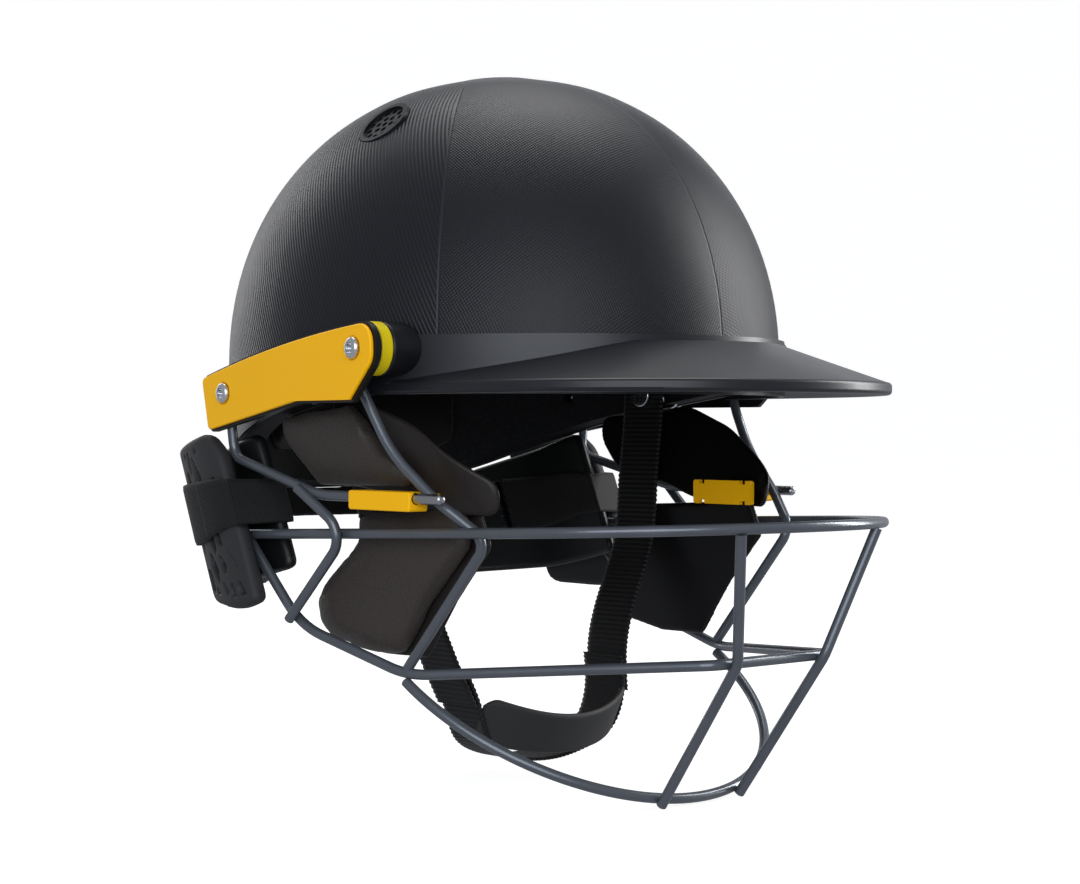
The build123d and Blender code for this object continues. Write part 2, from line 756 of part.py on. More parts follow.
# Pad clips: yellow moulded blocks that grip the side bar between the two pads
clip_length = 38.0
clip_height = 7.6
clip_out = 3.2
clip_depth = 9.0
clip_drop = 1.2
clip_round = 1.2
clip_share = 0.790
clip_stem_length = 16.0
clip_stem_height = 3.2
clip_stem_shift = 8.0
clip_stem_lift = 1.3
clip_reach = 30.8
clip_slit = 1.2
clip_slit_depth = 7.0
clip_plate_length = 34.0
clip_plate_height = 10.4
clip_plate_thickness = 2.2
clip_plate_lift = 0.6
clip_plate_shift = 16.0
clip_notch_d = 1.6
clip_notch_pitch = 24.0
clip_middle = side_line.position_at(clip_share)
clip_run = side_line.tangent_at(clip_share)
clip_plane = Plane(clip_middle, x_dir=clip_run, z_dir=(-1, 0, 0))
with BuildPart() as pad_clip:
    with BuildSketch(clip_plane.offset(clip_out)):
        with Locations((0, -clip_drop)):
            RectangleRounded(clip_length, clip_height, clip_round)
    extrude(amount=-clip_depth)
    fillet(pad_clip.faces().sort_by(Axis.X)[0].edges(), clip_round / 2)
    with BuildSketch(clip_plane.offset(clip_out)):
        with Locations((clip_stem_shift, clip_stem_lift - clip_drop)):
            RectangleRounded(clip_stem_length, clip_stem_height, clip_round)
    extrude(amount=-clip_reach)
    with BuildSketch(clip_plane.offset(clip_out - clip_reach)):
        with Locations((clip_plate_shift, clip_plate_lift - clip_drop)):
            RectangleRounded(clip_plate_length, clip_plate_height, clip_round)
            with GridLocations(clip_notch_pitch, clip_plate_height, 2, 2):
                Rectangle(2 * clip_notch_d, 2 * clip_notch_d, mode=Mode.SUBTRACT)
    extrude(amount=clip_plate_thickness)
    with BuildSketch(Plane(clip_middle, x_dir=(0, 0, 1), z_dir=clip_run)):
        Circle(wire_r + fit_gap)
        with Locations((0, -clip_slit_depth / 2)):
            Rectangle(clip_slit, clip_slit_depth)
    extrude(amount=clip_length, both=True, mode=Mode.SUBTRACT)
keep_pair(pad_clip.part, "pad_clip")

# Neck guards: two curved shells either side of the rear bars, leaning forward as they go down
guard_middle_shares = (-0.1689, 0.3664, -0.4693)
guard_lean = 0.4167
guard_radius_share = 0.8762
guard_thickness = 7.0
guard_lining_step = 8.0
guard_lining_thickness = 5.0
guard_corner_r = 5.0
guard_shares = (
    (0.495, -0.239), (0.770, -0.300), (0.545, -0.825), (0.380, -0.834), (0.300, -0.830),
    (0.207, -0.801), (0.413, -0.299),
)
guard_lining_shares = (
    (0.370, -0.238), (0.500, -0.273), (0.704, -0.347), (0.804, -0.393), (0.821, -0.560),
    (0.740, -0.790), (0.470, -0.760), (0.190, -0.690),
)
guard_centre_x = guard_middle_shares[0] * half_width
guard_centre_y = guard_middle_shares[1] * half_length
guard_middle_z = guard_middle_shares[2] * shell_height
guard_outer_r = guard_radius_share * half_width
guard_lining_outer_r = guard_outer_r - guard_thickness - guard_lining_step


def leaning(sketch):
    """Stretches a plan sketch up and down along the guard's lean."""
    lean_way = Vector(0, guard_lean, 1)
    reach = overrun * 2
    with BuildPart() as column:
        extrude(sketch, amount=reach, dir=lean_way)
        extrude(sketch, amount=-reach, dir=lean_way)
    return column.part


def guard_ring(outer_r, inner_r):
    """A plan ring segment about the guard's centre, on the right-hand side."""
    with BuildSketch(Plane.XY.offset(guard_middle_z)) as ring:
        with Locations((guard_centre_x, guard_centre_y)):
            Circle(outer_r)
            Circle(inner_r, mode=Mode.SUBTRACT)
        with Locations((guard_centre_x - outer_r, guard_centre_y)):
            Rectangle(2 * outer_r, 4 * outer_r, mode=Mode.INTERSECT)
    return ring.sketch


def side_prism(shares, corner_r):
    """A prism through the right-hand side, with a rounded outline in side view."""
    places = [(y_share * half_length, z_share * shell_height) for y_share, z_share in shares]
    with BuildPart() as prism:
        with BuildSketch(Plane.YZ) as outline:
            with BuildLine():
                Polyline(*places, close=True)
            make_face()
            fillet(outline.vertices(), corner_r)
        extrude(amount=-shell_width)
    return prism.part


cell_pitch = 6.6
cell_size = 5.2
cell_columns = 7
cell_rows = 9
cell_stretch = 1.35
cell_turn = 22.0
cell_field_shares = (
    (0.520, -0.275), (0.735, -0.330), (0.525, -0.795), (0.310, -0.795), (0.250, -0.770), (0.435, -0.330),
)
cell_middle_shares = (0.46, -0.555)
cell_middle = (cell_middle_shares[0] * half_length, cell_middle_shares[1] * shell_height)
with BuildPart() as cells:
    with BuildSketch(Plane.YZ) as cell_field:
        with BuildLine():
            Polyline(*[(y * half_length, z * shell_height) for y, z in cell_field_shares], close=True)
        make_face()
        with BuildSketch(Plane.YZ, mode=Mode.PRIVATE) as cell_grid:
            with HexLocations(cell_pitch, cell_columns, cell_rows):
                RegularPolygon(cell_size, 6)
            scale(by=(1, cell_stretch, 1))
        placed_cells = cell_grid.sketch.rotate(Axis.Z, cell_turn).translate((*cell_middle, 0))
        add(placed_cells, mode=Mode.INTERSECT)
    extrude(amount=-shell_width)

with BuildPart() as neck_guard_shell:
    add(leaning(guard_ring(guard_outer_r, guard_outer_r - guard_thickness)))
    add(side_prism(guard_shares, guard_corner_r), mode=Mode.INTERSECT)
    add(cells.part, mode=Mode.SUBTRACT)
keep_pair(neck_guard_shell.part, "neck_guard_shell")

# Elastic loop: wraps the guard and its lining, crossing in front above the end of the arm
loop_webbing = 1.4
loop_front_turn = -3.6
loop_lining_turn = -10.5
loop_rear_turn = 32.0
loop_field_shares = (
    (0.180, -0.400), (0.400, -0.392), (0.860, -0.440), (0.860, -0.660),
    (0.520, -0.615), (0.345, -0.553), (0.180, -0.530),
)


def guard_spot(radius, turn):
    """A plan place about the guard's centre, turned back from straight sideways."""
    swing = radians(turn)
    return (guard_centre_x - radius * cos(swing), guard_centre_y + radius * sin(swing))


def loop_path(step):
    """The elastic's plan outline, stepped out from the guard by step."""
    outside = guard_outer_r + fit_gap + step
    inside = guard_lining_outer_r - guard_lining_thickness - fit_gap - step
    turn_more = degrees(step / guard_outer_r)
    front = loop_front_turn - turn_more
    lining_front = loop_lining_turn - turn_more
    rear = loop_rear_turn + turn_more
    with BuildLine() as path:
        ThreePointArc(
            guard_spot(outside, front), guard_spot(outside, (front + rear) / 2), guard_spot(outside, rear)
        )
        Line(guard_spot(outside, rear), guard_spot(inside, rear))
        ThreePointArc(
            guard_spot(inside, rear),
            guard_spot(inside, (lining_front + rear) / 2),
            guard_spot(inside, lining_front),
        )
        Line(guard_spot(inside, lining_front), guard_spot(outside, front))
    return path.line


with BuildSketch(Plane.XY.offset(guard_middle_z)) as loop_plan:
    with BuildLine():
        add(loop_path(loop_webbing))
    make_face()
    with BuildLine():
        add(loop_path(0))
    make_face(mode=Mode.SUBTRACT)
with BuildPart() as guard_loop:
    add(leaning(loop_plan.sketch))
    add(side_prism(loop_field_shares, guard_corner_r), mode=Mode.INTERSECT)
keep_pair(guard_loop.part, "guard_loop")

slot_width = loop_webbing + 2 * fit_gap
slot_turn = loop_rear_turn + degrees(loop_webbing / 2 / guard_lining_outer_r)
slot_middle = guard_spot(guard_lining_outer_r, slot_turn)
with BuildSketch(Plane.XY.offset(guard_middle_z)) as slot_plan:
    with Locations(Location((*slot_middle, 0), -loop_rear_turn)):
        Rectangle(4 * guard_lining_thickness, slot_width)
with BuildPart() as loop_slot:
    add(leaning(slot_plan.sketch))
    add(side_prism(loop_field_shares, guard_corner_r), mode=Mode.INTERSECT)

with BuildPart() as neck_guard_lining:
    add(leaning(guard_ring(guard_lining_outer_r, guard_lining_outer_r - guard_lining_thickness)))
    add(side_prism(guard_lining_shares, guard_corner_r), mode=Mode.INTERSECT)
    add(loop_slot.part, mode=Mode.SUBTRACT)
keep_pair(neck_guard_lining.part, "neck_guard_lining")

# Nape flap: a padded fabric band that closes the back under the shell
flap_thickness = 4.0
flap_width_share = 0.5441
flap_foot_share = -0.5583
flap_half_width = flap_width_share * half_width
flap_foot = flap_foot_share * shell_height
with BuildPart() as nape_flap:
    add(dome(half_length, shell_height, flap_foot))
    flap_inside = dome(half_length - flap_thickness, shell_height - flap_thickness, flap_foot - overrun)
    add(flap_inside, mode=Mode.SUBTRACT)
    add(under_rim(seat_gap, -flap_foot), mode=Mode.INTERSECT)
    with BuildSketch(Plane.XY):
        with Locations((0, half_length)):
            Rectangle(2 * flap_half_width, half_length)
    extrude(amount=shell_length, both=True, mode=Mode.INTERSECT)
keep(nape_flap.part, "nape_flap")

# Impact liner: moulded foam inside the shell, with pockets for the nuts and the strap rivets
liner_thickness = 14.0
liner_lift = 0.4
liner_start = shell_wall + fit_gap
liner_inside_r = half_length - liner_start - liner_thickness
liner_inside_h = shell_height - liner_start - liner_thickness
liner_inside = dome(liner_inside_r, liner_inside_h, -skirt_depth - overrun)
with BuildPart() as impact_liner:
    add(dome(half_length - liner_start, shell_height - liner_start, -skirt_depth))
    add(liner_inside, mode=Mode.SUBTRACT)
    add(under_rim(-liner_lift), mode=Mode.SUBTRACT)
    add(nut_pockets.part, mode=Mode.SUBTRACT)
    add(screw_bores.part, mode=Mode.SUBTRACT)
    add(rivet_slot.part, mode=Mode.SUBTRACT)
    add(vent_ways.part, mode=Mode.SUBTRACT)
keep(impact_liner.part, "impact_liner")

# Comfort pads: soft crowned pads on the liner's inner face, at brow, crown, nape and sides
comfort_gap = 0.9
comfort_side = 2.6
comfort_depth = 7.2
comfort_corner_r = 9.0


def liner_r(level):
    """Half the liner's inner length at a level."""
    rise = max(level, 0) / liner_inside_h
    return liner_inside_r * (1 - rise ** dome_power) ** (1 / dome_power)


def comfort_pad(level, height, turn, spread, plane, reach):
    """A crowned pad swept round the liner, its ends rounded in the view of a plane."""
    low = level - height / 2
    high = level + height / 2
    path_r = liner_r(high) - comfort_gap
    lean_out = (liner_r(low) - liner_r(high)) * (1 if abs(turn) == 90 else width_ratio)
    with BuildPart() as pad:
        with BuildLine():
            path = EllipticalCenterArc(
                (0, shell_set_back), path_r * width_ratio, path_r,
                start_angle=turn - spread, arc_size=2 * spread
            )
        start = path @ 0
        inwards = Vector(0, 0, 1).cross(path % 0)
        with BuildSketch(Plane(start, x_dir=inwards, z_dir=path % 0)):
            with BuildLine():
                Polyline(
                    (comfort_side, high), (0, high), (-lean_out, low), (comfort_side - lean_out, low)
                )
                ThreePointArc(
                    (comfort_side - lean_out, low),
                    (comfort_depth - lean_out / 2, level),
                    (comfort_side, high),
                )
            make_face()
        sweep(path=path)
        with BuildSketch(plane):
            with Locations((0 if abs(turn) == 90 else shell_set_back, level)):
                RectangleRounded(reach, height, comfort_corner_r)
        extrude(amount=shell_length, both=True, mode=Mode.INTERSECT)
    return pad.part


brow_level = 11.0
brow_height = 34.0
brow_spread = 40.0
brow_width = 116.0
rear_level = -22.0
rear_height = 30.0
rear_spread = 36.0
rear_width = 106.0
side_level = 22.0
side_height = 30.0
side_spread = 17.0
side_width = 62.0
keep(comfort_pad(brow_level, brow_height, -90, brow_spread, Plane.XZ, brow_width), "brow_pad")
keep(comfort_pad(rear_level, rear_height, 90, rear_spread, Plane.XZ, rear_width), "rear_pad")
keep_pair(comfort_pad(side_level, side_height, 180, side_spread, Plane.YZ, side_width), "side_pad")

crown_half_width = 33.0
crown_half_length = 44.0
crown_depth = 14.0
with BuildPart() as crown_pad:
    crown_sections = []
    for rise, size in crown_steps:
        level = liner_inside_h - crown_depth * rise
        with BuildSketch(Plane.XY.offset(level)) as crown_section:
            with Locations((0, shell_set_back)):
                Ellipse(crown_half_width * size, crown_half_length * size)
        crown_sections.append(crown_section.sketch)
    loft(crown_sections)
    add(dome(liner_inside_r - fit_gap, liner_inside_h - fit_gap, -skirt_depth), mode=Mode.INTERSECT)
keep(crown_pad.part, "crown_pad")

# Chin strap: woven webbing down each side and under the chin, with a soft cup across the front
webbing_width = 25.0
webbing_thickness = 1.6
webbing_stations = 13
leg_shares = (
    (-0.799, -0.008, -0.030), (-0.792, -0.012, -0.162), (-0.728, -0.037, -0.413), (-0.678, -0.060, -0.607),
    (-0.530, -0.088, -0.850), (-0.462, -0.105, -0.995), (-0.410, -0.150, -1.150),
)
web_end_shares = (0.90, 1.0)
web_shares = ((-0.325, -0.145, -1.275), (-0.200, -0.130, -1.335), (0.0, -0.128, -1.360))


def smooth_line(places):
    """A smooth centre line through places."""
    with BuildLine() as run_line:
        Spline(*places)
    return run_line.wire()


def webbing(line, stations, ease=0):
    """A flat strap lofted along a line, its width lying front to back, with ease all round."""
    sections = []
    for station in range(stations):
        share = station / (stations - 1)
        run = line % share
        level_run = Vector(run.X, 0, run.Z)
        with BuildSketch(Plane(line @ share, x_dir=(0, 1, 0), z_dir=level_run)) as section:
            Rectangle(webbing_width + 2 * ease, webbing_thickness + 2 * ease)
        sections.append(section.sketch)
    with BuildPart() as strap:
        loft(sections)
    return strap.part


leg_line = smooth_line([spot(*place) for place in leg_shares])
web_ends = []
for share in web_end_shares:
    leg_run = leg_line % share
    inwards = Vector(-leg_run.Z, 0, leg_run.X).normalized()
    web_ends.append(leg_line @ share + inwards * (webbing_thickness + 2 * fit_gap))
web_right = web_ends + [spot(*place) for place in web_shares]
web_left = [Vector(-place.X, place.Y, place.Z) for place in reversed(web_right[:-1])]
web_line = smooth_line(web_right + web_left)

with BuildPart() as strap_leg:
    add(webbing(leg_line, webbing_stations))
    with BuildSketch(Plane.YZ.offset(-half_width)):
        with Locations((strap_y, pivot_z)):
            Circle(pin_d / 2 + fit_gap)
    extrude(amount=half_width, mode=Mode.SUBTRACT)
keep_pair(strap_leg.part, "strap_leg")
keep(webbing(web_line, 2 * webbing_stations - 1), "chin_web")

cup_thickness = 2.6
cup_height = 21.0
cup_lean = 26.0
cup_half_width_share = 0.384
cup_sagitta_share = 0.128
cup_end_shares = (-0.262, -1.118)
cup_round = 0.9
cup_half_width = cup_half_width_share * half_width
cup_depth = cup_sagitta_share * half_length
cup_origin = (0, cup_end_shares[0] * half_length, cup_end_shares[1] * shell_height)
cup_way = (0, -sin(radians(cup_lean)), cos(radians(cup_lean)))
with BuildPart() as chin_cup:
    with BuildSketch(Plane(origin=cup_origin, x_dir=(1, 0, 0), z_dir=cup_way)):
        with BuildLine():
            cup_outer = ThreePointArc((-cup_half_width, 0), (0, -cup_depth), (cup_half_width, 0))
            cup_inner = ThreePointArc(
                (-cup_half_width + cup_thickness / 2, cup_thickness),
                (0, -cup_depth + cup_thickness),
                (cup_half_width - cup_thickness / 2, cup_thickness),
            )
            Line(cup_outer @ 0, cup_inner @ 0)
            Line(cup_outer @ 1, cup_inner @ 1)
        make_face()
    extrude(amount=-cup_height)
    fillet(chin_cup.faces().filter_by(GeomType.CYLINDER).edges(), cup_round)
    add(webbing(web_line, 2 * webbing_stations - 1, fit_gap), mode=Mode.SUBTRACT)
keep(chin_cup.solids().sort_by(SortBy.VOLUME)[-1], "chin_cup")
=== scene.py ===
import math
import random

import bmesh
import bpy
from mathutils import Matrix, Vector


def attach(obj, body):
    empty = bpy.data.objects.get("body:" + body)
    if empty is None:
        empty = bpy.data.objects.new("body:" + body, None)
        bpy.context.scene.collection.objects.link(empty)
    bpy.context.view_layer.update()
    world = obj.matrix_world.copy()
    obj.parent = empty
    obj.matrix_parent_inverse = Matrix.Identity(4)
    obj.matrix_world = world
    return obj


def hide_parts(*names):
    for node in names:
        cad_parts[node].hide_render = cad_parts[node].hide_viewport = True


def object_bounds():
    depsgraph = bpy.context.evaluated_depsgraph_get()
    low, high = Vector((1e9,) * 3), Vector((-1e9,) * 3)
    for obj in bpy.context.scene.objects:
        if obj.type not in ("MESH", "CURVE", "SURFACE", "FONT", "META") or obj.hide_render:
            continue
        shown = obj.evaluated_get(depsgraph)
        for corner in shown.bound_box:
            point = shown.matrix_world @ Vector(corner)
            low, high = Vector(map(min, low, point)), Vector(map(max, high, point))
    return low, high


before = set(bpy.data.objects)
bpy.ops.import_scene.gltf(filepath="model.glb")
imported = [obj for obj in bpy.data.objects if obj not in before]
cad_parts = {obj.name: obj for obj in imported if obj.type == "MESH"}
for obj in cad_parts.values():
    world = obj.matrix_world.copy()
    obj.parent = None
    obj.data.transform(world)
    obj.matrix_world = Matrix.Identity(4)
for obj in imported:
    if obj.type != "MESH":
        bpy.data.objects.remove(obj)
cad_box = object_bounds()

# Outer shell: a hard moulded dome covered in a fine ribbed cloth that is pressed into the
# surface. Four panels of the cloth meet in thin butt seams, and the ribs of each panel run
# their own way, so the light breaks into a faint grid. Satin, very dark blue-grey.


def hex_colour(code):
    """Turns an sRGB hex value into the linear colour that a shader takes."""
    parts = [int(code[i:i + 2], 16) / 255 for i in (1, 3, 5)]
    return tuple(c / 12.92 if c <= 0.04045 else ((c + 0.055) / 1.055) ** 2.4 for c in parts) + (1.0,)


def add_node(tree, kind, settings, feeds):
    """Adds a node with its settings, and fills or links its sockets."""
    node = tree.nodes.new(kind)
    for name, value in settings.items():
        setattr(node, name, value)
    for name, value in feeds.items():
        socket = node.inputs[name]
        if isinstance(value, bpy.types.NodeSocket):
            tree.links.new(value, socket)
        else:
            socket.default_value = value
    return node


def blank_material(name, roughness, ior=1.5, metallic=0.0, shine=0.5):
    """A new material with its principled shader, ready for its nodes."""
    material = bpy.data.materials.new(name)
    material.use_nodes = True
    tree = material.node_tree
    shader = tree.nodes["Principled BSDF"]
    shader.inputs["Roughness"].default_value = roughness
    shader.inputs["IOR"].default_value = ior
    shader.inputs["Metallic"].default_value = metallic
    shader.inputs["Specular IOR Level"].default_value = shine
    return material, tree, shader


def dress(material, *names):
    """Gives the CAD nodes of these names one material."""
    for name in names:
        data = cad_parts[name].data
        data.materials.clear()
        data.materials.append(material)


def sides(*names):
    """The right-hand and left-hand names of paired nodes."""
    return [name + side for name in names for side in ("_right", "_left")]


seam_turn = math.radians(49.0)
seam_origin_y = 0.0155
seam_width = 0.0007
weave_pitch = 0.0015
stitch_pitch = 0.0013
side_rib_pitch = 0.0016
weave_depth = 0.00011


def shell_cloth():
    """Ribbed cloth cover: crossing rows of stitches in front and behind, slanting ribs at the sides."""
    material, tree, shader = blank_material("pressed_cloth_cover", 0.47, shine=0.26)
    place = add_node(tree, "ShaderNodeTexCoord", {}, {})
    axes = add_node(tree, "ShaderNodeSeparateXYZ", {}, {"Vector": place.outputs["Object"]})

    def sum_of(operation, a, b=0.0, c=0.0):
        return add_node(tree, "ShaderNodeMath", {"operation": operation}, {0: a, 1: b, 2: c}).outputs[0]

    def weighted(*terms):
        total = 0.0
        for value, weight in terms:
            total = sum_of("MULTIPLY_ADD", value, weight, total)
        return total

    def wave(phase, pitch):
        return sum_of("SINE", sum_of("MULTIPLY", phase, 2 * math.pi / pitch))

    sideways = sum_of("ABSOLUTE", axes.outputs["X"])
    backwards = sum_of("SUBTRACT", axes.outputs["Y"], seam_origin_y)
    away = sum_of("ABSOLUTE", backwards)
    upwards = axes.outputs["Z"]
    # Each panel is cut flat: its rows are straight in the plane that faces its middle
    turn, tilt = math.radians(24.0), math.radians(30.0)
    across = weighted((sideways, math.cos(turn)), (away, -math.sin(turn)))
    rise = weighted(
        (upwards, math.cos(tilt)),
        (away, -math.sin(tilt) * math.cos(turn)),
        (sideways, -math.sin(tilt) * math.sin(turn)))
    row_slant, stitch_slant = math.radians(62.0), math.radians(14.0)
    rows = wave(weighted((across, -math.cos(row_slant)), (rise, math.sin(row_slant))), weave_pitch)
    stitches = wave(
        weighted((across, math.cos(stitch_slant)), (rise, math.sin(stitch_slant))), stitch_pitch)
    basket = sum_of("MULTIPLY", rows, stitches)
    rib_slant = math.radians(57.0)
    side_rise = weighted((upwards, math.cos(tilt)), (sideways, -math.sin(tilt)))
    ribs = wave(
        weighted((backwards, -math.sin(rib_slant)), (side_rise, math.cos(rib_slant))), side_rib_pitch)
    # Distance from the side seams, which stand in upright planes through the crown
    from_seam = weighted((sideways, math.cos(seam_turn)), (away, -math.sin(seam_turn)))
    side_panel = sum_of("GREATER_THAN", from_seam)
    relief = add_node(tree, "ShaderNodeMix", {"data_type": "FLOAT"}, {
        "Factor": side_panel, "A": basket, "B": ribs})
    near_side = sum_of("SUBTRACT", 1.0, sum_of("DIVIDE", sum_of("ABSOLUTE", from_seam), seam_width))
    near_front = sum_of("SUBTRACT", 1.0, sum_of("DIVIDE", sideways, seam_width))
    seam = sum_of("MAXIMUM", sum_of("MAXIMUM", near_side, near_front), 0.0)
    height = weighted((relief.outputs[0], 0.5), (seam, -2.0))
    bump = add_node(tree, "ShaderNodeBump", {}, {
        "Strength": 1.0, "Distance": weave_depth, "Height": height})
    mottle = add_node(tree, "ShaderNodeTexNoise", {}, {
        "Scale": 22.0, "Detail": 3.0, "Vector": place.outputs["Object"]})
    tint = add_node(tree, "ShaderNodeMix", {"data_type": "RGBA"}, {
        "Factor": mottle.outputs["Fac"], "A": hex_colour("#0c0e11"), "B": hex_colour("#101216")})
    # Painted highlight: the raised tops of the weave and ribs get a lighter blue-grey, as if they caught
    # the light.
    rib_top_highlight = add_node(tree, "ShaderNodeMapRange", {}, {
        "Value": relief.outputs[0], "From Min": -1.0, "To Max": 0.35})
    lit = add_node(tree, "ShaderNodeMix", {"data_type": "RGBA"}, {
        "Factor": rib_top_highlight.outputs[0], "A": tint.outputs[2], "B": hex_colour("#1e2229")})
    edge = add_node(tree, "ShaderNodeMix", {"data_type": "RGBA"}, {
        "Factor": seam, "A": lit.outputs[2], "B": hex_colour("#25282d")})
    gloss = add_node(tree, "ShaderNodeMapRange", {}, {
        "Value": mottle.outputs["Fac"], "To Min": 0.38, "To Max": 0.46})
    tree.links.new(edge.outputs[2], shader.inputs["Base Color"])
    tree.links.new(gloss.outputs[0], shader.inputs["Roughness"])
    tree.links.new(bump.outputs[0], shader.inputs["Normal"])
    return material


dress(shell_cloth(), "outer_shell")

# Vents and peak: injection-moulded polypropylene. The vents are pierced discs pressed into
# their seats; the peak is one moulding with a band that grips the shell. Fine spark-eroded
# grain, satin, a shade bluer than black.


def moulded_plastic(name, dark, light, roughness, grain=0.0004, depth=0.00004, shine=0.3):
    """Moulded plastic with an eroded grain, slightly uneven in colour and gloss."""
    material, tree, shader = blank_material(name, roughness, 1.49, 0.0, shine)
    place = add_node(tree, "ShaderNodeTexCoord", {}, {})
    cloud = add_node(tree, "ShaderNodeTexNoise", {}, {
        "Scale": 25.0, "Detail": 4.0, "Vector": place.outputs["Object"]})
    tint = add_node(tree, "ShaderNodeMix", {"data_type": "RGBA"}, {
        "Factor": cloud.outputs["Fac"], "A": hex_colour(dark), "B": hex_colour(light)})
    speck = add_node(tree, "ShaderNodeTexNoise", {}, {
        "Scale": 1 / grain, "Detail": 2.0, "Vector": place.outputs["Object"]})
    bump = add_node(tree, "ShaderNodeBump", {}, {
        "Strength": 0.5, "Distance": depth, "Height": speck.outputs["Fac"]})
    gloss = add_node(tree, "ShaderNodeMapRange", {}, {
        "Value": cloud.outputs["Fac"], "To Min": roughness - 0.06, "To Max": roughness + 0.08})
    tree.links.new(tint.outputs[2], shader.inputs["Base Color"])
    tree.links.new(gloss.outputs[0], shader.inputs["Roughness"])
    tree.links.new(bump.outputs[0], shader.inputs["Normal"])
    return material


dress(moulded_plastic("peak_polypropylene", "#14161a", "#1b1e23", 0.36, shine=0.4), "peak")
black_nylon = moulded_plastic("black_nylon", "#0e0f11", "#141518", 0.38)
dress(black_nylon, *sides("vent_insert", "temple_boss", "backing_plate"), "washers", "rear_posts")

# Side plates and spacers: yellow ABS, moulded and coloured right through, with softly
# rounded edges and a shallow dished seat round each screw. The face is left plain.
yellow_abs = moulded_plastic("yellow_abs", "#feb900", "#ffc106", 0.42, 0.0007, shine=0.2)
spacer_yellow = moulded_plastic("lemon_abs", "#dcc40a", "#e4cc14", 0.42, 0.0007, shine=0.2)
dress(yellow_abs, *sides("side_plate"))
dress(spacer_yellow, *sides("spacer_ring"))

# Screws, nuts and rivets: cold-headed steel with a bright zinc plate. The heads are round
# with a six-lobed recess; plating leaves a faint cloudy grain in the reflections.


def zinc_plate():
    """Bright zinc over turned steel."""
    material, tree, shader = blank_material("bright_zinc_plate", 0.24, metallic=1.0)
    place = add_node(tree, "ShaderNodeTexCoord", {}, {})
    cloud = add_node(tree, "ShaderNodeTexNoise", {}, {
        "Scale": 700.0, "Detail": 3.0, "Vector": place.outputs["Object"]})
    tint = add_node(tree, "ShaderNodeMix", {"data_type": "RGBA"}, {
        "Factor": cloud.outputs["Fac"], "A": hex_colour("#b9bdc2"), "B": hex_colour("#dfe2e6")})
    gloss = add_node(tree, "ShaderNodeMapRange", {}, {
        "Value": cloud.outputs["Fac"], "To Min": 0.18, "To Max": 0.34})
    tree.links.new(tint.outputs[2], shader.inputs["Base Color"])
    tree.links.new(gloss.outputs[0], shader.inputs["Roughness"])
    return material


dress(zinc_plate(), "front_screws", "rear_screws", "shell_nuts", "strap_rivets")

# Wire guard: 4 mm steel bars, bent cold, spot-welded at every crossing and powder coated in
# blue-grey. The coat flows a little, so it has a faint orange peel and a soft gloss.
coat_metallic = 0.45
bare_blend = 0.001


def powder_coat(name, bare_front):
    """Blue-grey powder coat with orange peel, rubbed to bare steel in front of a place."""
    material, tree, shader = blank_material(name, 0.27, metallic=coat_metallic)
    place = add_node(tree, "ShaderNodeTexCoord", {}, {})
    peel = add_node(tree, "ShaderNodeTexNoise", {}, {
        "Scale": 900.0, "Detail": 2.0, "Vector": place.outputs["Object"]})
    cloud = add_node(tree, "ShaderNodeTexNoise", {}, {
        "Scale": 60.0, "Detail": 3.0, "Vector": place.outputs["Object"]})
    tint = add_node(tree, "ShaderNodeMix", {"data_type": "RGBA"}, {
        "Factor": cloud.outputs["Fac"], "A": hex_colour("#51565c"), "B": hex_colour("#63686f")})
    bump = add_node(tree, "ShaderNodeBump", {}, {
        "Strength": 0.4, "Distance": 0.00005, "Height": peel.outputs["Fac"]})
    axes = add_node(tree, "ShaderNodeSeparateXYZ", {}, {"Vector": place.outputs["Object"]})
    bare = add_node(tree, "ShaderNodeMapRange", {}, {
        "Value": axes.outputs["Y"], "From Min": bare_front, "From Max": bare_front + bare_blend,
        "To Min": 1.0, "To Max": 0.0})
    shown = add_node(tree, "ShaderNodeMix", {"data_type": "RGBA"}, {
        "Factor": bare.outputs[0], "A": tint.outputs[2], "B": hex_colour("#a3a5a8")})
    metal = add_node(tree, "ShaderNodeMapRange", {}, {"Value": bare.outputs[0], "To Min": coat_metallic})
    tree.links.new(shown.outputs[2], shader.inputs["Base Color"])
    tree.links.new(metal.outputs[0], shader.inputs["Metallic"])
    tree.links.new(bump.outputs[0], shader.inputs["Normal"])
    return material


guard_coat = powder_coat("blue_grey_powder_coat", -1.0)
dress(guard_coat, "top_bar", "lower_ring", "chin_loop", *sides("upright", "face_bar", "vee_bar"))
dress(powder_coat("rubbed_powder_coat", -0.063), *sides("side_bar"))

# Impact liner: expanded polystyrene, moulded black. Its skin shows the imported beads, 3 to
# 5 mm across, and has almost no gloss.


def bead_foam():
    """Moulded bead foam: cells with slightly sunken borders."""
    material, tree, shader = blank_material("moulded_bead_foam", 0.75, shine=0.25)
    place = add_node(tree, "ShaderNodeTexCoord", {}, {})
    beads = add_node(tree, "ShaderNodeTexVoronoi", {"feature": "DISTANCE_TO_EDGE"}, {
        "Scale": 250.0, "Vector": place.outputs["Object"]})
    edge = add_node(tree, "ShaderNodeMapRange", {}, {
        "Value": beads.outputs["Distance"], "From Max": 0.12})
    bump = add_node(tree, "ShaderNodeBump", {}, {
        "Strength": 0.5, "Distance": 0.0002, "Height": edge.outputs[0]})
    tint = add_node(tree, "ShaderNodeMix", {"data_type": "RGBA"}, {
        "Factor": edge.outputs[0], "A": hex_colour("#08080a"), "B": hex_colour("#0f1012")})
    tree.links.new(tint.outputs[2], shader.inputs["Base Color"])
    tree.links.new(bump.outputs[0], shader.inputs["Normal"])
    return material


dress(bead_foam(), "impact_liner")

# Comfort pads and nape flap: soft foam in a brushed knitted cloth, stuck inside the liner.
# The knit is nearly black and a little brown, with a short nap that catches grazing light.
knit_stitch = 0.0011


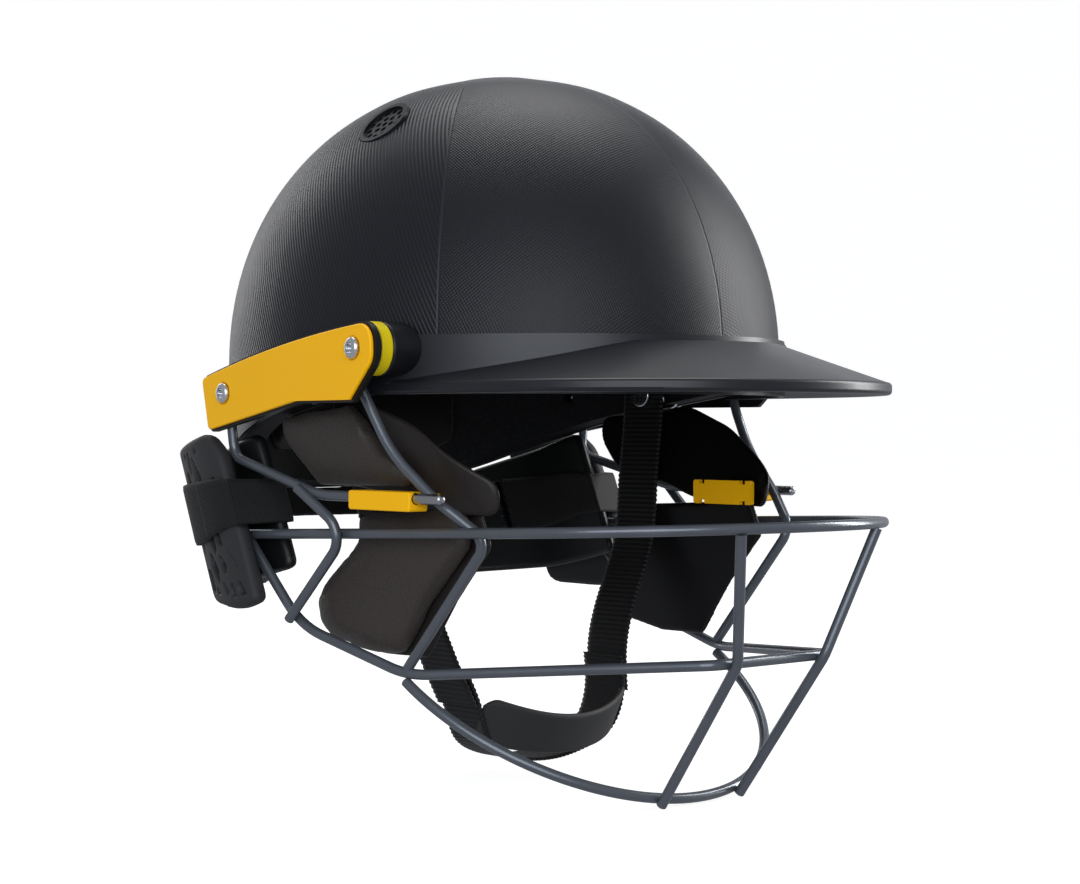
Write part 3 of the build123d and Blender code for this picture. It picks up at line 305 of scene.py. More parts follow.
def brushed_knit(name, dark, light):
    """Brushed knit: rows of small stitches under a soft nap."""
    material, tree, shader = blank_material(name, 0.85, shine=0.2)
    place = add_node(tree, "ShaderNodeTexCoord", {}, {})
    rows = add_node(tree, "ShaderNodeTexVoronoi", {}, {
        "Scale": 1 / knit_stitch, "Vector": place.outputs["Object"]})
    nap = add_node(tree, "ShaderNodeTexNoise", {}, {
        "Scale": 90.0, "Detail": 6.0, "Vector": place.outputs["Object"]})
    tint = add_node(tree, "ShaderNodeMix", {"data_type": "RGBA"}, {
        "Factor": nap.outputs["Fac"], "A": hex_colour(dark), "B": hex_colour(light)})
    bump = add_node(tree, "ShaderNodeBump", {}, {
        "Strength": 0.6, "Distance": 0.0002, "Height": rows.outputs["Distance"]})
    tree.links.new(tint.outputs[2], shader.inputs["Base Color"])
    tree.links.new(bump.outputs[0], shader.inputs["Normal"])
    shader.inputs["Sheen Weight"].default_value = 0.1
    shader.inputs["Sheen Roughness"].default_value = 0.5
    return material


def soft_copy(node, voxel, rounds, swell=0.0):
    """A cushion that starts from its CAD form: remeshed, smoothed, then swollen or shrunk a little."""
    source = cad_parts[node]
    data = source.data.copy()
    pad = bpy.data.objects.new(node + "_soft", data)
    bpy.context.collection.objects.link(pad)
    remesh = pad.modifiers.new("weld", "REMESH")
    remesh.mode = "VOXEL"
    remesh.voxel_size = voxel
    smooth = pad.modifiers.new("ease", "SMOOTH")
    smooth.factor = 0.5
    smooth.iterations = rounds
    shape = pad.evaluated_get(bpy.context.evaluated_depsgraph_get())
    fresh = bpy.data.meshes.new_from_object(shape)
    pad.modifiers.clear()
    pad.data = fresh
    mesh = bmesh.new()
    mesh.from_mesh(fresh)
    mesh.normal_update()
    for vert in mesh.verts:
        vert.co += vert.normal * swell
    mesh.to_mesh(fresh)
    mesh.free()
    for face in fresh.polygons:
        face.use_smooth = True
    fresh.materials.clear()
    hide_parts(node)
    return pad


lining_knit = brushed_knit("brushed_lining_knit", "#100d0b", "#1b1612")
flap_knit = brushed_knit("smooth_flap_knit", "#070708", "#0d0d0e")
for node in ("brow_pad", "rear_pad", "crown_pad", "side_pad_right", "side_pad_left"):
    pad = soft_copy(node, 0.0016, 6)
    pad.data.materials.append(lining_knit)
    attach(pad, "helmet")
flap = soft_copy("nape_flap", 0.0012, 4)
flap.data.materials.append(flap_knit)
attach(flap, "helmet")

# Cheek pads: blocks of soft foam wrapped in leatherette that is pulled over the rim and glued
# behind, so the face swells and the edges pull in. A smooth knit lines the wearer's side. The
# embossed skin is brown-black, matt on the face and glossier where it is stretched.


def leatherette():
    """Embossed leatherette: fine pebbles, drawn a little coarse, with a cloudy matt face."""
    material, tree, shader = blank_material("embossed_leatherette", 0.5, 1.49, shine=0.3)
    place = add_node(tree, "ShaderNodeTexCoord", {}, {})
    pebble = add_node(tree, "ShaderNodeTexVoronoi", {"feature": "SMOOTH_F1"}, {
        "Scale": 1 / pebble_size, "Smoothness": 0.6, "Vector": place.outputs["Object"]})
    crease = add_node(tree, "ShaderNodeTexNoise", {}, {
        "Scale": 70.0, "Detail": 5.0, "Vector": place.outputs["Object"]})
    tint = add_node(tree, "ShaderNodeMix", {"data_type": "RGBA"}, {
        "Factor": crease.outputs["Fac"], "A": hex_colour("#211d1a"), "B": hex_colour("#2f2a26")})
    # Painted highlight: each pebble is coloured lighter towards its middle, standing in for the glints
    # on the pebbled skin.
    pebble_glint_share = add_node(tree, "ShaderNodeMapRange", {}, {
        "Value": pebble.outputs["Distance"], "From Max": 0.6, "To Max": 0.5})
    pebble_glint_colour = add_node(tree, "ShaderNodeMix", {"data_type": "RGBA"}, {
        "Factor": pebble_glint_share.outputs[0], "A": hex_colour("#3b3530"), "B": tint.outputs[2]})
    height = add_node(tree, "ShaderNodeMath", {"operation": "MULTIPLY_ADD"}, {
        0: crease.outputs["Fac"], 1: 1.5, 2: pebble.outputs["Distance"]})
    bump = add_node(tree, "ShaderNodeBump", {}, {
        "Strength": 0.8, "Distance": 0.00022, "Height": height.outputs[0]})
    gloss = add_node(tree, "ShaderNodeMapRange", {}, {
        "Value": crease.outputs["Fac"], "To Min": 0.38, "To Max": 0.58})
    tree.links.new(pebble_glint_colour.outputs[2], shader.inputs["Base Color"])
    tree.links.new(gloss.outputs[0], shader.inputs["Roughness"])
    tree.links.new(bump.outputs[0], shader.inputs["Normal"])
    shader.inputs["Sheen Weight"].default_value = 0.05
    return material


pebble_size = 0.0009
pad_voxel = 0.003
pad_shrink = 0.0003
pad_swell_cap = 0.0012
pad_pressure = 4.0
pad_frames = 20


def swollen_pad(node):
    """A cheek pad blown up a little as cloth, capped so that it stays in its place."""
    pad = soft_copy(node, pad_voxel, 2, -pad_shrink)
    start = [vert.co.copy() for vert in pad.data.vertices]
    cloth = pad.modifiers.new("skin", "CLOTH")
    cloth.settings.quality = 6
    cloth.settings.use_pressure = True
    cloth.settings.uniform_pressure_force = pad_pressure
    cloth.settings.effector_weights.gravity = 0.0
    cloth.settings.tension_stiffness = 12.0
    cloth.settings.compression_stiffness = 12.0
    cloth.settings.bending_stiffness = 0.6
    cloth.collision_settings.use_self_collision = False
    cloth.point_cache.frame_start = 1
    cloth.point_cache.frame_end = pad_frames
    for step in range(1, pad_frames + 1):
        bpy.context.scene.frame_set(step)
    blown = bpy.data.meshes.new_from_object(pad.evaluated_get(bpy.context.evaluated_depsgraph_get()))
    pad.modifiers.clear()
    bpy.context.scene.frame_set(1)
    for vert, first, last in zip(pad.data.vertices, start, blown.vertices):
        step = last.co - first
        vert.co = first + step * min(1.0, pad_swell_cap / max(step.length, 1e-9))
    finer = pad.modifiers.new("round", "SUBSURF")
    finer.levels = 1
    finer.render_levels = 1
    smooth = bpy.data.meshes.new_from_object(pad.evaluated_get(bpy.context.evaluated_depsgraph_get()))
    pad.modifiers.clear()
    pad.data = smooth
    for face in smooth.polygons:
        face.use_smooth = True
    return pad


def two_faced_knit():
    """Lining cloth: smooth and black on the wearer's side, brown-grey where it folds outward."""
    material, tree, shader = blank_material("two_faced_knit", 0.42, shine=0.25)
    place = add_node(tree, "ShaderNodeTexCoord", {}, {})
    spot = add_node(tree, "ShaderNodeSeparateXYZ", {}, {"Vector": place.outputs["Object"]})
    facing = add_node(tree, "ShaderNodeSeparateXYZ", {}, {"Vector": place.outputs["Normal"]})
    outward = add_node(tree, "ShaderNodeMath", {"operation": "MULTIPLY"}, {
        0: spot.outputs["X"], 1: facing.outputs["X"]})
    share = add_node(tree, "ShaderNodeMapRange", {}, {"Value": outward.outputs[0], "From Max": 0.03})
    weave = add_node(tree, "ShaderNodeTexNoise", {}, {
        "Scale": 1100.0, "Detail": 2.0, "Vector": place.outputs["Object"]})
    fold = add_node(tree, "ShaderNodeMix", {"data_type": "RGBA"}, {
        "Factor": weave.outputs["Fac"], "A": hex_colour("#1d1a18"), "B": hex_colour("#2a2623")})
    tint = add_node(tree, "ShaderNodeMix", {"data_type": "RGBA"}, {
        "Factor": share.outputs[0], "A": hex_colour("#09090a"), "B": fold.outputs[2]})
    bump = add_node(tree, "ShaderNodeBump", {}, {
        "Strength": 0.5, "Distance": 0.00006, "Height": weave.outputs["Fac"]})
    tree.links.new(tint.outputs[2], shader.inputs["Base Color"])
    tree.links.new(bump.outputs[0], shader.inputs["Normal"])
    return material


pad_skin = leatherette()
lining_skin = two_faced_knit()
for node in sides("cheek_pad_upper", "cheek_pad_lower"):
    pad = swollen_pad(node)
    pad.data.materials.append(pad_skin)
    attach(pad, "helmet")
for node in sides("cheek_lining_lower"):
    pad = soft_copy(node, 0.0008, 4)
    pad.data.materials.append(lining_skin)
    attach(pad, "helmet")

# Pad clips: yellow moulded blocks, one each side, that hold the side bar between the two
# pads. The block shows outside and its notched keeper plate inside. Both faces are plain.
dress(yellow_abs, *sides("pad_clip"))

# Neck guard shells: slabs of cross-linked foam, moulded to a curve, with rounded edges and a
# loose pattern of long blind pockets that lighten them. The skin is closed, dull charcoal.
guard_middle = Vector((-0.0180, 0.0488, -0.0580))
guard_lean = 0.4167
guard_r = 0.0934
guard_thickness = 0.0070
guard_edge_round = 0.0026
guard_corner = 0.005
guard_cell = 0.0007
guard_outline = (
    (0.0659, -0.0295), (0.1026, -0.0371), (0.0726, -0.1020), (0.0506, -0.1031), (0.0400, -0.1026),
    (0.0276, -0.0990), (0.0550, -0.0370),
)
pocket_width = 0.0068
pocket_length = 0.0150
pocket_web = 0.0011
pocket_wall = 0.0009
pocket_depth = 0.0048
pocket_margin = 0.0050
pocket_jitter = 0.42


def rounded_outline(places, corner):
    """A closed outline with each of its corners cut to a round."""
    points = []
    for index, place in enumerate(places):
        here = Vector(place)
        before = Vector(places[index - 1])
        after = Vector(places[(index + 1) % len(places)])
        start = here + (before - here).normalized() * min(corner, (before - here).length / 2.1)
        end = here + (after - here).normalized() * min(corner, (after - here).length / 2.1)
        for step in range(7):
            share = step / 6
            points.append(start.lerp(here, share).lerp(here.lerp(end, share), share))
    return points


def nearest_on(outline, point):
    """How far a point lies inside an outline (less than 0 outside), and the nearest place on it."""
    best, place, inside = 1e9, point, False
    for index, end in enumerate(outline):
        start = outline[index - 1]
        run = end - start
        share = min(1.0, max(0.0, (point - start).dot(run) / max(run.length_squared, 1e-15)))
        foot = start + run * share
        if (point - foot).length < best:
            best, place = (point - foot).length, foot
        if (start[1] > point[1]) != (end[1] > point[1]):
            crossing = start[0] + (point[1] - start[1]) / (end[1] - start[1]) * run[0]
            inside = inside != (crossing > point[0])
    return (best if inside else -best), place


def guard_place(radius, y, z):
    """The place on the right-hand guard's leaning round, from its side-view place."""
    aside = y - guard_middle[1] - guard_lean * (z - guard_middle[2])
    swing = math.asin(max(-1.0, min(1.0, aside / radius)))
    return Vector((guard_middle[0] - radius * math.cos(swing), y, z))


def curved_slab(spot_at, level, thickness, places, edge_round, sink, keep_out=None):
    """A slab laid along a surface, its edges rounded and its outer face sunk by a pattern."""
    outline = rounded_outline(places, guard_corner)
    lows = [min(point[axis] for point in outline) for axis in (0, 1)]
    highs = [max(point[axis] for point in outline) for axis in (0, 1)]
    counts = [int((highs[axis] - lows[axis]) / guard_cell) + 2 for axis in (0, 1)]
    mesh = bmesh.new()
    spots, outer, inner = {}, {}, {}
    for column in range(counts[0]):
        for row in range(counts[1]):
            y = lows[0] + (column - 0.5) * guard_cell
            z = lows[1] + (row - 0.5) * guard_cell
            depth, place = nearest_on(outline, Vector((y, z)))
            if depth < -1.5 * guard_cell:
                continue
            if depth < 0.35 * guard_cell:
                y, z, depth = place[0], place[1], 0.0
            spots[column, row] = (y, z, depth)
            rounding = max(0.0, edge_round - depth)
            drop = edge_round - math.sqrt(max(0.0, edge_round ** 2 - rounding ** 2))
            outer[column, row] = mesh.verts.new(spot_at(level - drop - sink(y, z, depth), y, z))
            inner[column, row] = mesh.verts.new(spot_at(level - thickness + drop, y, z))
    for column, row in spots:
        corners = [(column, row), (column + 1, row), (column + 1, row + 1), (column, row + 1)]
        if any(corner not in spots for corner in corners):
            continue
        middle = [sum(spots[corner][axis] for corner in corners) / 4 for axis in (0, 1)]
        if nearest_on(outline, Vector(middle))[0] <= 0 or (keep_out and keep_out(*middle)):
            continue
        mesh.faces.new([outer[corner] for corner in corners])
        mesh.faces.new([inner[corner] for corner in reversed(corners)])
    rims = [edge for edge in mesh.edges if edge.is_boundary]
    outer_keys = {vert: key for key, vert in outer.items()}
    for edge in rims:
        if edge.verts[0] in outer_keys and edge.verts[1] in outer_keys:
            first, last = (outer_keys[vert] for vert in edge.verts)
            mesh.faces.new([outer[first], outer[last], inner[last], inner[first]])
    bmesh.ops.delete(mesh, geom=[vert for vert in mesh.verts if not vert.link_faces], context="VERTS")
    bmesh.ops.dissolve_degenerate(mesh, dist=0.00002, edges=mesh.edges[:])
    bmesh.ops.recalc_face_normals(mesh, faces=mesh.faces[:])
    return mesh


def smooth_piece(mesh, node, material):
    """A smooth piece made from a mesh, in the place of the CAD node of this name."""
    data = bpy.data.meshes.new(node + "_visual")
    mesh.to_mesh(data)
    for face in data.polygons:
        face.use_smooth = True
    data.materials.append(material)
    piece = bpy.data.objects.new(node + "_visual", data)
    bpy.context.collection.objects.link(piece)
    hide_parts(node)
    return piece


def both_sides(mesh, name, material):
    """Makes a right-hand piece from a mesh, and its mirror image on the left."""
    right = smooth_piece(mesh, name + "_right", material)
    for vert in mesh.verts:
        vert.co.x = -vert.co.x
    bmesh.ops.reverse_faces(mesh, faces=mesh.faces[:])
    left = smooth_piece(mesh, name + "_left", material)
    mesh.free()
    return right, left


def pocket_seeds():
    """Middles of the pockets: rows along the guard's lean, shaken about a little."""
    shaker = random.Random(11)
    seeds = []
    for column in range(-6, 7):
        for row in range(-4, 5):
            stagger = 0.5 * (column % 2)
            seeds.append(Vector((
                (column + shaker.uniform(-pocket_jitter, pocket_jitter)) * pocket_width,
                (row + stagger + shaker.uniform(-pocket_jitter, pocket_jitter)) * pocket_length,
            )))
    return seeds


seeds = pocket_seeds()


def pocket_sink(y, z, depth):
    """How deep the outer face lies at a place: nothing on the webs, full in the pockets."""
    aside = y - guard_middle[1] - guard_lean * (z - guard_middle[2])
    squeeze = pocket_width / pocket_length
    here = Vector((aside, (z - guard_middle[2]) * squeeze))
    gaps = sorted((here - Vector((seed[0], seed[1] * squeeze))).length for seed in seeds)
    from_web = (gaps[1] - gaps[0]) / 2 - pocket_web
    inside = min(from_web, depth - pocket_margin)
    share = min(1.0, max(0.0, inside / pocket_wall))
    return pocket_depth * share * share * (3 - 2 * share)


guard_foam = moulded_plastic("cross_linked_foam", "#272728", "#303031", 0.62, 0.0009, 0.00008)
shell_mesh = curved_slab(
    guard_place, guard_r, guard_thickness, guard_outline, guard_edge_round, pocket_sink)
for piece, body in zip(both_sides(shell_mesh, "neck_guard_shell", guard_foam),
                       ("neck_guard_right", "neck_guard_left")):
    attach(piece, body)

# Neck guard linings: a second, thinner slab of smooth foam on the wearer's side, cut with a
# slot at the back for the elastic. Satin, near black, a little green in the light.
lining_r = 0.0784
lining_thickness = 0.005
lining_edge_round = 0.0022
lining_outline = (
    (0.0493, -0.0294), (0.0666, -0.0337), (0.0938, -0.0429), (0.1071, -0.0486), (0.1094, -0.0692),
    (0.0986, -0.0976), (0.0626, -0.0939), (0.0253, -0.0853),
)
loop_rear_turn = math.radians(32.0)
loop_thickness = 0.0014
slot_before, slot_behind = 0.0006, 0.0004
slot_foot, slot_top = -0.0800, -0.0535


def loop_slot(y, z):
    """True inside the slot that the elastic passes through."""
    aside = y - guard_middle[1] - guard_lean * (z - guard_middle[2])
    off = aside - lining_r * math.sin(loop_rear_turn)
    return -slot_before < off < loop_thickness + slot_behind and slot_foot < z < slot_top


def no_sink(y, z, depth):
    """A plain face."""
    return 0.0


lining_foam = moulded_plastic("smooth_closed_foam", "#070909", "#0c0f0f", 0.4, 0.0009, 0.00004)
lining_mesh = curved_slab(
    guard_place, lining_r, lining_thickness, lining_outline, lining_edge_round, no_sink, loop_slot)
for piece, body in zip(both_sides(lining_mesh, "neck_guard_lining", lining_foam),
                       ("neck_guard_right", "neck_guard_left")):
    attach(piece, body)

# Upper cheek linings: the pad's flange, which is wider than the pad. It reaches forward to the
# wire, where its edge curls inward, and down to the lower pad round the clip's stem.
flange_x, flange_z = -0.0982, -0.0352
flange_tilt = math.radians(11.6)
flange_start = 0.0079
flange_thickness = 0.0024
flange_round = 0.0011
flange_curl = 0.0065
flange_curl_from = -0.0610
flange_curl_run = 0.0210
flange_outline = (
    (0.0320, -0.0222), (0.0304, -0.0324), (0.0200, -0.0433), (0.0080, -0.0500), (-0.0140, -0.0520),
    (-0.0340, -0.0585), (-0.0560, -0.0615), (-0.0830, -0.0615), (-0.0845, -0.0490), (-0.0640, -0.0365),
    (-0.0500, -0.0270), (-0.0240, -0.0175),
)


def flange_place(level, y, z):
    """The place on the right-hand upper pad's leaning plane, a level inside it (less than 0)."""
    curled = max(0.0, (flange_curl_from - y) / flange_curl_run)
    aside = math.tan(flange_tilt) * (flange_z - z) - level / math.cos(flange_tilt)
    return Vector((flange_x + aside + flange_curl * curled ** 2, y, z))


flange_mesh = curved_slab(
    flange_place, -flange_start, flange_thickness, flange_outline, flange_round, no_sink)
for piece in both_sides(flange_mesh, "cheek_lining_upper", lining_skin):
    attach(piece, "helmet")

# Elastic loops: 24 mm ribbed elastic, woven over rubber threads and sewn into a loop round
# each guard. Ribs run straight across the band; the yarn is black with a low sheen.
loop_front_turn = math.radians(-3.6)
loop_lining_turn = math.radians(-10.5)
loop_gap = 0.0003
loop_rib_pitch = 0.0012
loop_rib_depth = 0.00016
loop_edge_run = 0.0012
loop_top = ((0.0240, -0.0494), (0.0533, -0.0485), (0.1146, -0.0544))
loop_foot = ((0.0240, -0.0655), (0.0460, -0.0684), (0.0693, -0.0760), (0.1146, -0.0816))


def woven_yarn(name, dark, light, roughness):
    """Woven polyester yarn: bundles of filaments a third of a millimetre across."""
    material, tree, shader = blank_material(name, roughness, shine=0.3)
    place = add_node(tree, "ShaderNodeTexCoord", {}, {})
    yarn = add_node(tree, "ShaderNodeTexNoise", {}, {
        "Scale": 1300.0, "Detail": 3.0, "Vector": place.outputs["Object"]})
    fade = add_node(tree, "ShaderNodeTexNoise", {}, {
        "Scale": 45.0, "Detail": 2.0, "Vector": place.outputs["Object"]})
    blend = add_node(tree, "ShaderNodeMath", {"operation": "MULTIPLY"}, {
        0: yarn.outputs["Fac"], 1: fade.outputs["Fac"]})
    spread = add_node(tree, "ShaderNodeMapRange", {}, {
        "Value": blend.outputs[0], "From Min": 0.1, "From Max": 0.4})
    tint = add_node(tree, "ShaderNodeMix", {"data_type": "RGBA"}, {
        "Factor": spread.outputs[0], "A": hex_colour(dark), "B": hex_colour(light)})
    bump = add_node(tree, "ShaderNodeBump", {}, {
        "Strength": 0.7, "Distance": 0.00012, "Height": yarn.outputs["Fac"]})
    tree.links.new(tint.outputs[2], shader.inputs["Base Color"])
    tree.links.new(bump.outputs[0], shader.inputs["Normal"])
    shader.inputs["Sheen Weight"].default_value = 0.08
    shader.inputs["Sheen Roughness"].default_value = 0.4
    return material


def even_points(places, step):
    """Points an equal step apart along a run of straight pieces, or finely divided curves."""
    lengths = [0.0]
    for start, end in zip(places, places[1:]):
        lengths.append(lengths[-1] + (end - start).length)
    count = max(2, round(lengths[-1] / step))
    points, index = [], 0
    for number in range(count + 1):
        along = lengths[-1] * number / count
        while index < len(places) - 2 and lengths[index + 1] < along:
            index += 1
        share = (along - lengths[index]) / max(lengths[index + 1] - lengths[index], 1e-12)
        points.append(places[index].lerp(places[index + 1], share))
    return points


def height_at(line, y):
    """The height of a side-view line of points at a place front to back."""
    for start, end in zip(line, line[1:]):
        if y <= end[0]:
            break
    return start[1] + (end[1] - start[1]) * (y - start[0]) / (end[0] - start[0])


def elastic_band():
    """The right-hand elastic: a ribbed band that goes once round the guard and its lining."""
    outside = guard_r + loop_gap + loop_thickness / 2
    inside = lining_r - lining_thickness - loop_gap - loop_thickness / 2
    corners = []
    turns = 24
    for step in range(turns + 1):
        turn = loop_front_turn + (loop_rear_turn - loop_front_turn) * step / turns
        corners.append(Vector((outside * -math.cos(turn), outside * math.sin(turn), 0)))
    for step in range(turns + 1):
        turn = loop_rear_turn + (loop_lining_turn - loop_rear_turn) * step / turns
        corners.append(Vector((inside * -math.cos(turn), inside * math.sin(turn), 0)))
    corners.append(corners[0])
    path = even_points(corners, loop_rib_pitch / 4)[:-1]
    for _ in range(10):
        path = [(path[i - 1] + path[i] * 2 + path[(i + 1) % len(path)]) / 4 for i in range(len(path))]
    mesh = bmesh.new()
    rows = 14
    rings = []
    for index, point in enumerate(path):
        run = (path[(index + 1) % len(path)] - path[index - 1]).normalized()
        out = Vector((run.y, -run.x, 0))
        if out.dot(point) < 0 and index < turns * 4:
            out = -out
        rib = loop_rib_depth * math.cos(2 * math.pi * index / 4)
        middle_y = guard_middle[1] + point.y
        spots = []
        for level in (loop_top, loop_foot):
            y, z = middle_y, guard_middle[2]
            for _ in range(4):
                z = height_at(level, y)
                y = middle_y + guard_lean * (z - guard_middle[2])
            spots.append(z)
        ring = []
        for side in (1, -1):
            for row in range(rows + 1):
                share = row / rows if side == 1 else 1 - row / rows
                z = spots[0] + (spots[1] - spots[0]) * share
                edge = min(share, 1 - share) * abs(spots[0] - spots[1])
                half = loop_thickness / 2 * min(1.0, 0.45 + edge / loop_edge_run) + rib * side * 0.5
                place = point + out * half * side
                y = guard_middle[1] + place.y + guard_lean * (z - guard_middle[2])
                ring.append(mesh.verts.new((guard_middle[0] + place.x, y, z)))
        rings.append(ring)
    for ring, following in zip(rings, rings[1:] + rings[:1]):
        for index in range(len(ring)):
            after = (index + 1) % len(ring)
            mesh.faces.new((ring[index], ring[after], following[after], following[index]))
    bmesh.ops.recalc_face_normals(mesh, faces=mesh.faces[:])
    return mesh


elastic_weave = woven_yarn("ribbed_elastic_weave", "#060606", "#131313", 0.72)
for piece, body in zip(both_sides(elastic_band(), "guard_loop", elastic_weave),
                       ("neck_guard_right", "neck_guard_left")):
    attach(piece, body)

# Chin strap legs: 25 mm ribbed polyester webbing, riveted inside the shell at the temples.
# Thick filling yarns make ribs across it about every 2 mm and give it a scalloped edge.
webbing_width = 0.025
webbing_thickness = 0.0016
webbing_rib_pitch = 0.0022
webbing_rib_depth = 0.00026
webbing_scallop = 0.0005
webbing_edge_run = 0.0015
leg_route = (
    (-0.08517, -0.00107, -0.00371), (-0.08443, -0.00160, -0.02002), (-0.07760, -0.00493, -0.05105),
    (-0.07227, -0.00799, -0.07503), (-0.05650, -0.01172, -0.10506), (-0.04925, -0.01399, -0.12298),
    (-0.04371, -0.01998, -0.14214),
)


def spline_through(places, step):
    """Evenly spaced points on the natural cubic spline through places."""
    places = [Vector(place) for place in places]
    count = len(places)
    spans = [(places[i + 1] - places[i]).length for i in range(count - 1)]
    slopes = [(places[i + 1] - places[i]) / spans[i] for i in range(count - 1)]
    bends = [Vector((0, 0, 0))] * count
    ratios, sums = [0.0] * count, [Vector((0, 0, 0))] * count
    for i in range(1, count - 1):
        base = 2 * (spans[i - 1] + spans[i]) - spans[i - 1] * ratios[i - 1]
        ratios[i] = spans[i] / base
        sums[i] = ((slopes[i] - slopes[i - 1]) * 6 - sums[i - 1] * spans[i - 1]) / base
    for i in range(count - 2, 0, -1):
        bends[i] = sums[i] - bends[i + 1] * ratios[i]
    fine = []
    for i in range(count - 1):
        for part in range(40):
            a = part / 40
            b = 1 - a
            fine.append(
                places[i] * b + places[i + 1] * a
                + (bends[i] * (b ** 3 - b) + bends[i + 1] * (a ** 3 - a)) * spans[i] ** 2 / 6)
    fine.append(places[-1])
    return even_points(fine, step)


def ribbed_webbing(route):
    """Flat webbing along a route, its width front to back, with ribs and scalloped edges."""
    points = spline_through(route, webbing_rib_pitch / 5)
    mesh = bmesh.new()
    columns = 12
    rings = []
    for index, point in enumerate(points):
        run = points[min(index + 1, len(points) - 1)] - points[max(index - 1, 0)]
        out = Vector((run.z, 0, -run.x)).normalized()
        rib = math.cos(2 * math.pi * index / 5)
        ring = []
        for side in (1, -1):
            for column in range(columns + 1):
                share = column / columns * 2 - 1
                share = share * side
                aside = share * (webbing_width / 2 - webbing_scallop * (0.5 - 0.5 * rib))
                edge = webbing_width / 2 * (1 - abs(share))
                half = webbing_thickness / 2 - webbing_rib_depth * (0.5 - 0.5 * rib)
                half = half * min(1.0, 0.5 + edge / webbing_edge_run)
                ring.append(mesh.verts.new(point + Vector((0, aside, 0)) + out * half * side))
        rings.append(ring)
    for ring, following in zip(rings, rings[1:]):
        for index in range(len(ring)):
            after = (index + 1) % len(ring)
            mesh.faces.new((ring[index], ring[after], following[after], following[index]))
    for ring in (rings[0], rings[-1]):
        for index in range(columns):
            mesh.faces.new((ring[index], ring[index + 1], ring[-index - 2], ring[-index - 1]))
    bmesh.ops.recalc_face_normals(mesh, faces=mesh.faces[:])
    return mesh


strap_weave = woven_yarn("ribbed_polyester_webbing", "#050505", "#101010", 0.6)
for piece in both_sides(ribbed_webbing(leg_route), "strap_leg", strap_weave):
    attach(piece, "chin_strap")

# Web under the chin: the same webbing, sewn inside the ends of the legs and hanging in a
# slack curve under the cup.
web_route = (
    (-0.0452, -0.0153, -0.1274), (-0.0416, -0.01998, -0.1415), (-0.03465, -0.01931, -0.15759),
    (-0.02132, -0.01732, -0.16500), (0, -0.01705, -0.16810),
)
web_route = web_route + tuple((-x, y, z) for x, y, z in reversed(web_route[:-1]))
web_mesh = ribbed_webbing(web_route)
web = smooth_piece(web_mesh, "chin_web", strap_weave)
web_mesh.free()
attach(web, "chin_strap")

# Chin cup: a band of soft moulded rubber across the front of the chin. Its edges are rounded
# and its upper edge dips in the middle; the surface is matt with a fine bloom.
cup_half_width = 0.04093
cup_front = 0.01705
cup_origin = Vector((0, -0.0349, -0.13818))
cup_lean = math.radians(26.0)
cup_height = 0.021
cup_thickness = 0.0026
cup_dip = 0.0022
cup_end_round = 0.22
cup_end_from = 0.86
cup_columns = 72
cup_rows = 16


def moulded_cup():
    """The rubber cup: a bent band with a full round along its edges."""
    radius = (cup_half_width ** 2 + cup_front ** 2) / (2 * cup_front)
    spread = math.asin(cup_half_width / radius)
    down = Vector((0, math.sin(cup_lean), -math.cos(cup_lean)))
    back = Vector((0, math.cos(cup_lean), math.sin(cup_lean)))
    mesh = bmesh.new()
    rings = []
    for column in range(cup_columns + 1):
        share = column / cup_columns * 2 - 1
        turn = spread * share
        out = Vector((math.sin(turn), 0, 0)) - back * math.cos(turn)
        middle = cup_origin + back * (radius - cup_front)
        dip = cup_dip * (1 - share * share) ** 2
        past_end = max(0.0, (abs(share) - cup_end_from) / (1 - cup_end_from))
        end_round = cup_height * cup_end_round * past_end ** 2
        top, foot = dip + end_round, cup_height - end_round
        ring = []
        for side in (1, -1):
            for row in range(cup_rows + 1):
                level = row / cup_rows if side == 1 else 1 - row / cup_rows
                drop = top + (foot - top) * level
                edge = min(level, 1 - level) * (foot - top)
                edge = min(edge, (1 - abs(share)) * cup_half_width + 0.0004)
                full = cup_thickness / 2
                half = full * math.sqrt(max(0.04, 1 - max(0.0, 1 - edge / full) ** 2))
                ring.append(mesh.verts.new(middle + out * (radius - full + half * side) + down * drop))
        rings.append(ring)
    for ring, following in zip(rings, rings[1:]):
        for index in range(len(ring)):
            after = (index + 1) % len(ring)
            mesh.faces.new((ring[index], ring[after], following[after], following[index]))
    for ring in (rings[0], rings[-1]):
        for index in range(cup_rows):
            mesh.faces.new((ring[index], ring[index + 1], ring[-index - 2], ring[-index - 1]))
    bmesh.ops.recalc_face_normals(mesh, faces=mesh.faces[:])
    return mesh


cup_rubber = moulded_plastic("soft_cup_rubber", "#262626", "#2e2e2e", 0.6, 0.0008, 0.00006)
cup_mesh = moulded_cup()
cup = smooth_piece(cup_mesh, "chin_cup", cup_rubber)
cup_mesh.free()
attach(cup, "chin_strap")

# Studio: a white paper floor that sweeps up behind, a soft light over and behind the helmet,
# a strip of light from each side and a broad dim one from the front left. The camera stands
# where the photograph was taken, nearly level.
floor_level = cad_box[0][2] - 0.0005
sweep_radius = 1.5
sweep_back = 5.0
sweep_steps = 12
paper_front = -6.0
paper_rise = 6.0
paper_half_width = 8.0
camera_turn = math.radians(42.67)
camera_dip = math.radians(0.21)
camera_place = Vector((-0.6453, -0.7232, -0.0299))
lens_px = 2228.0
photo_width_px = 1080.0


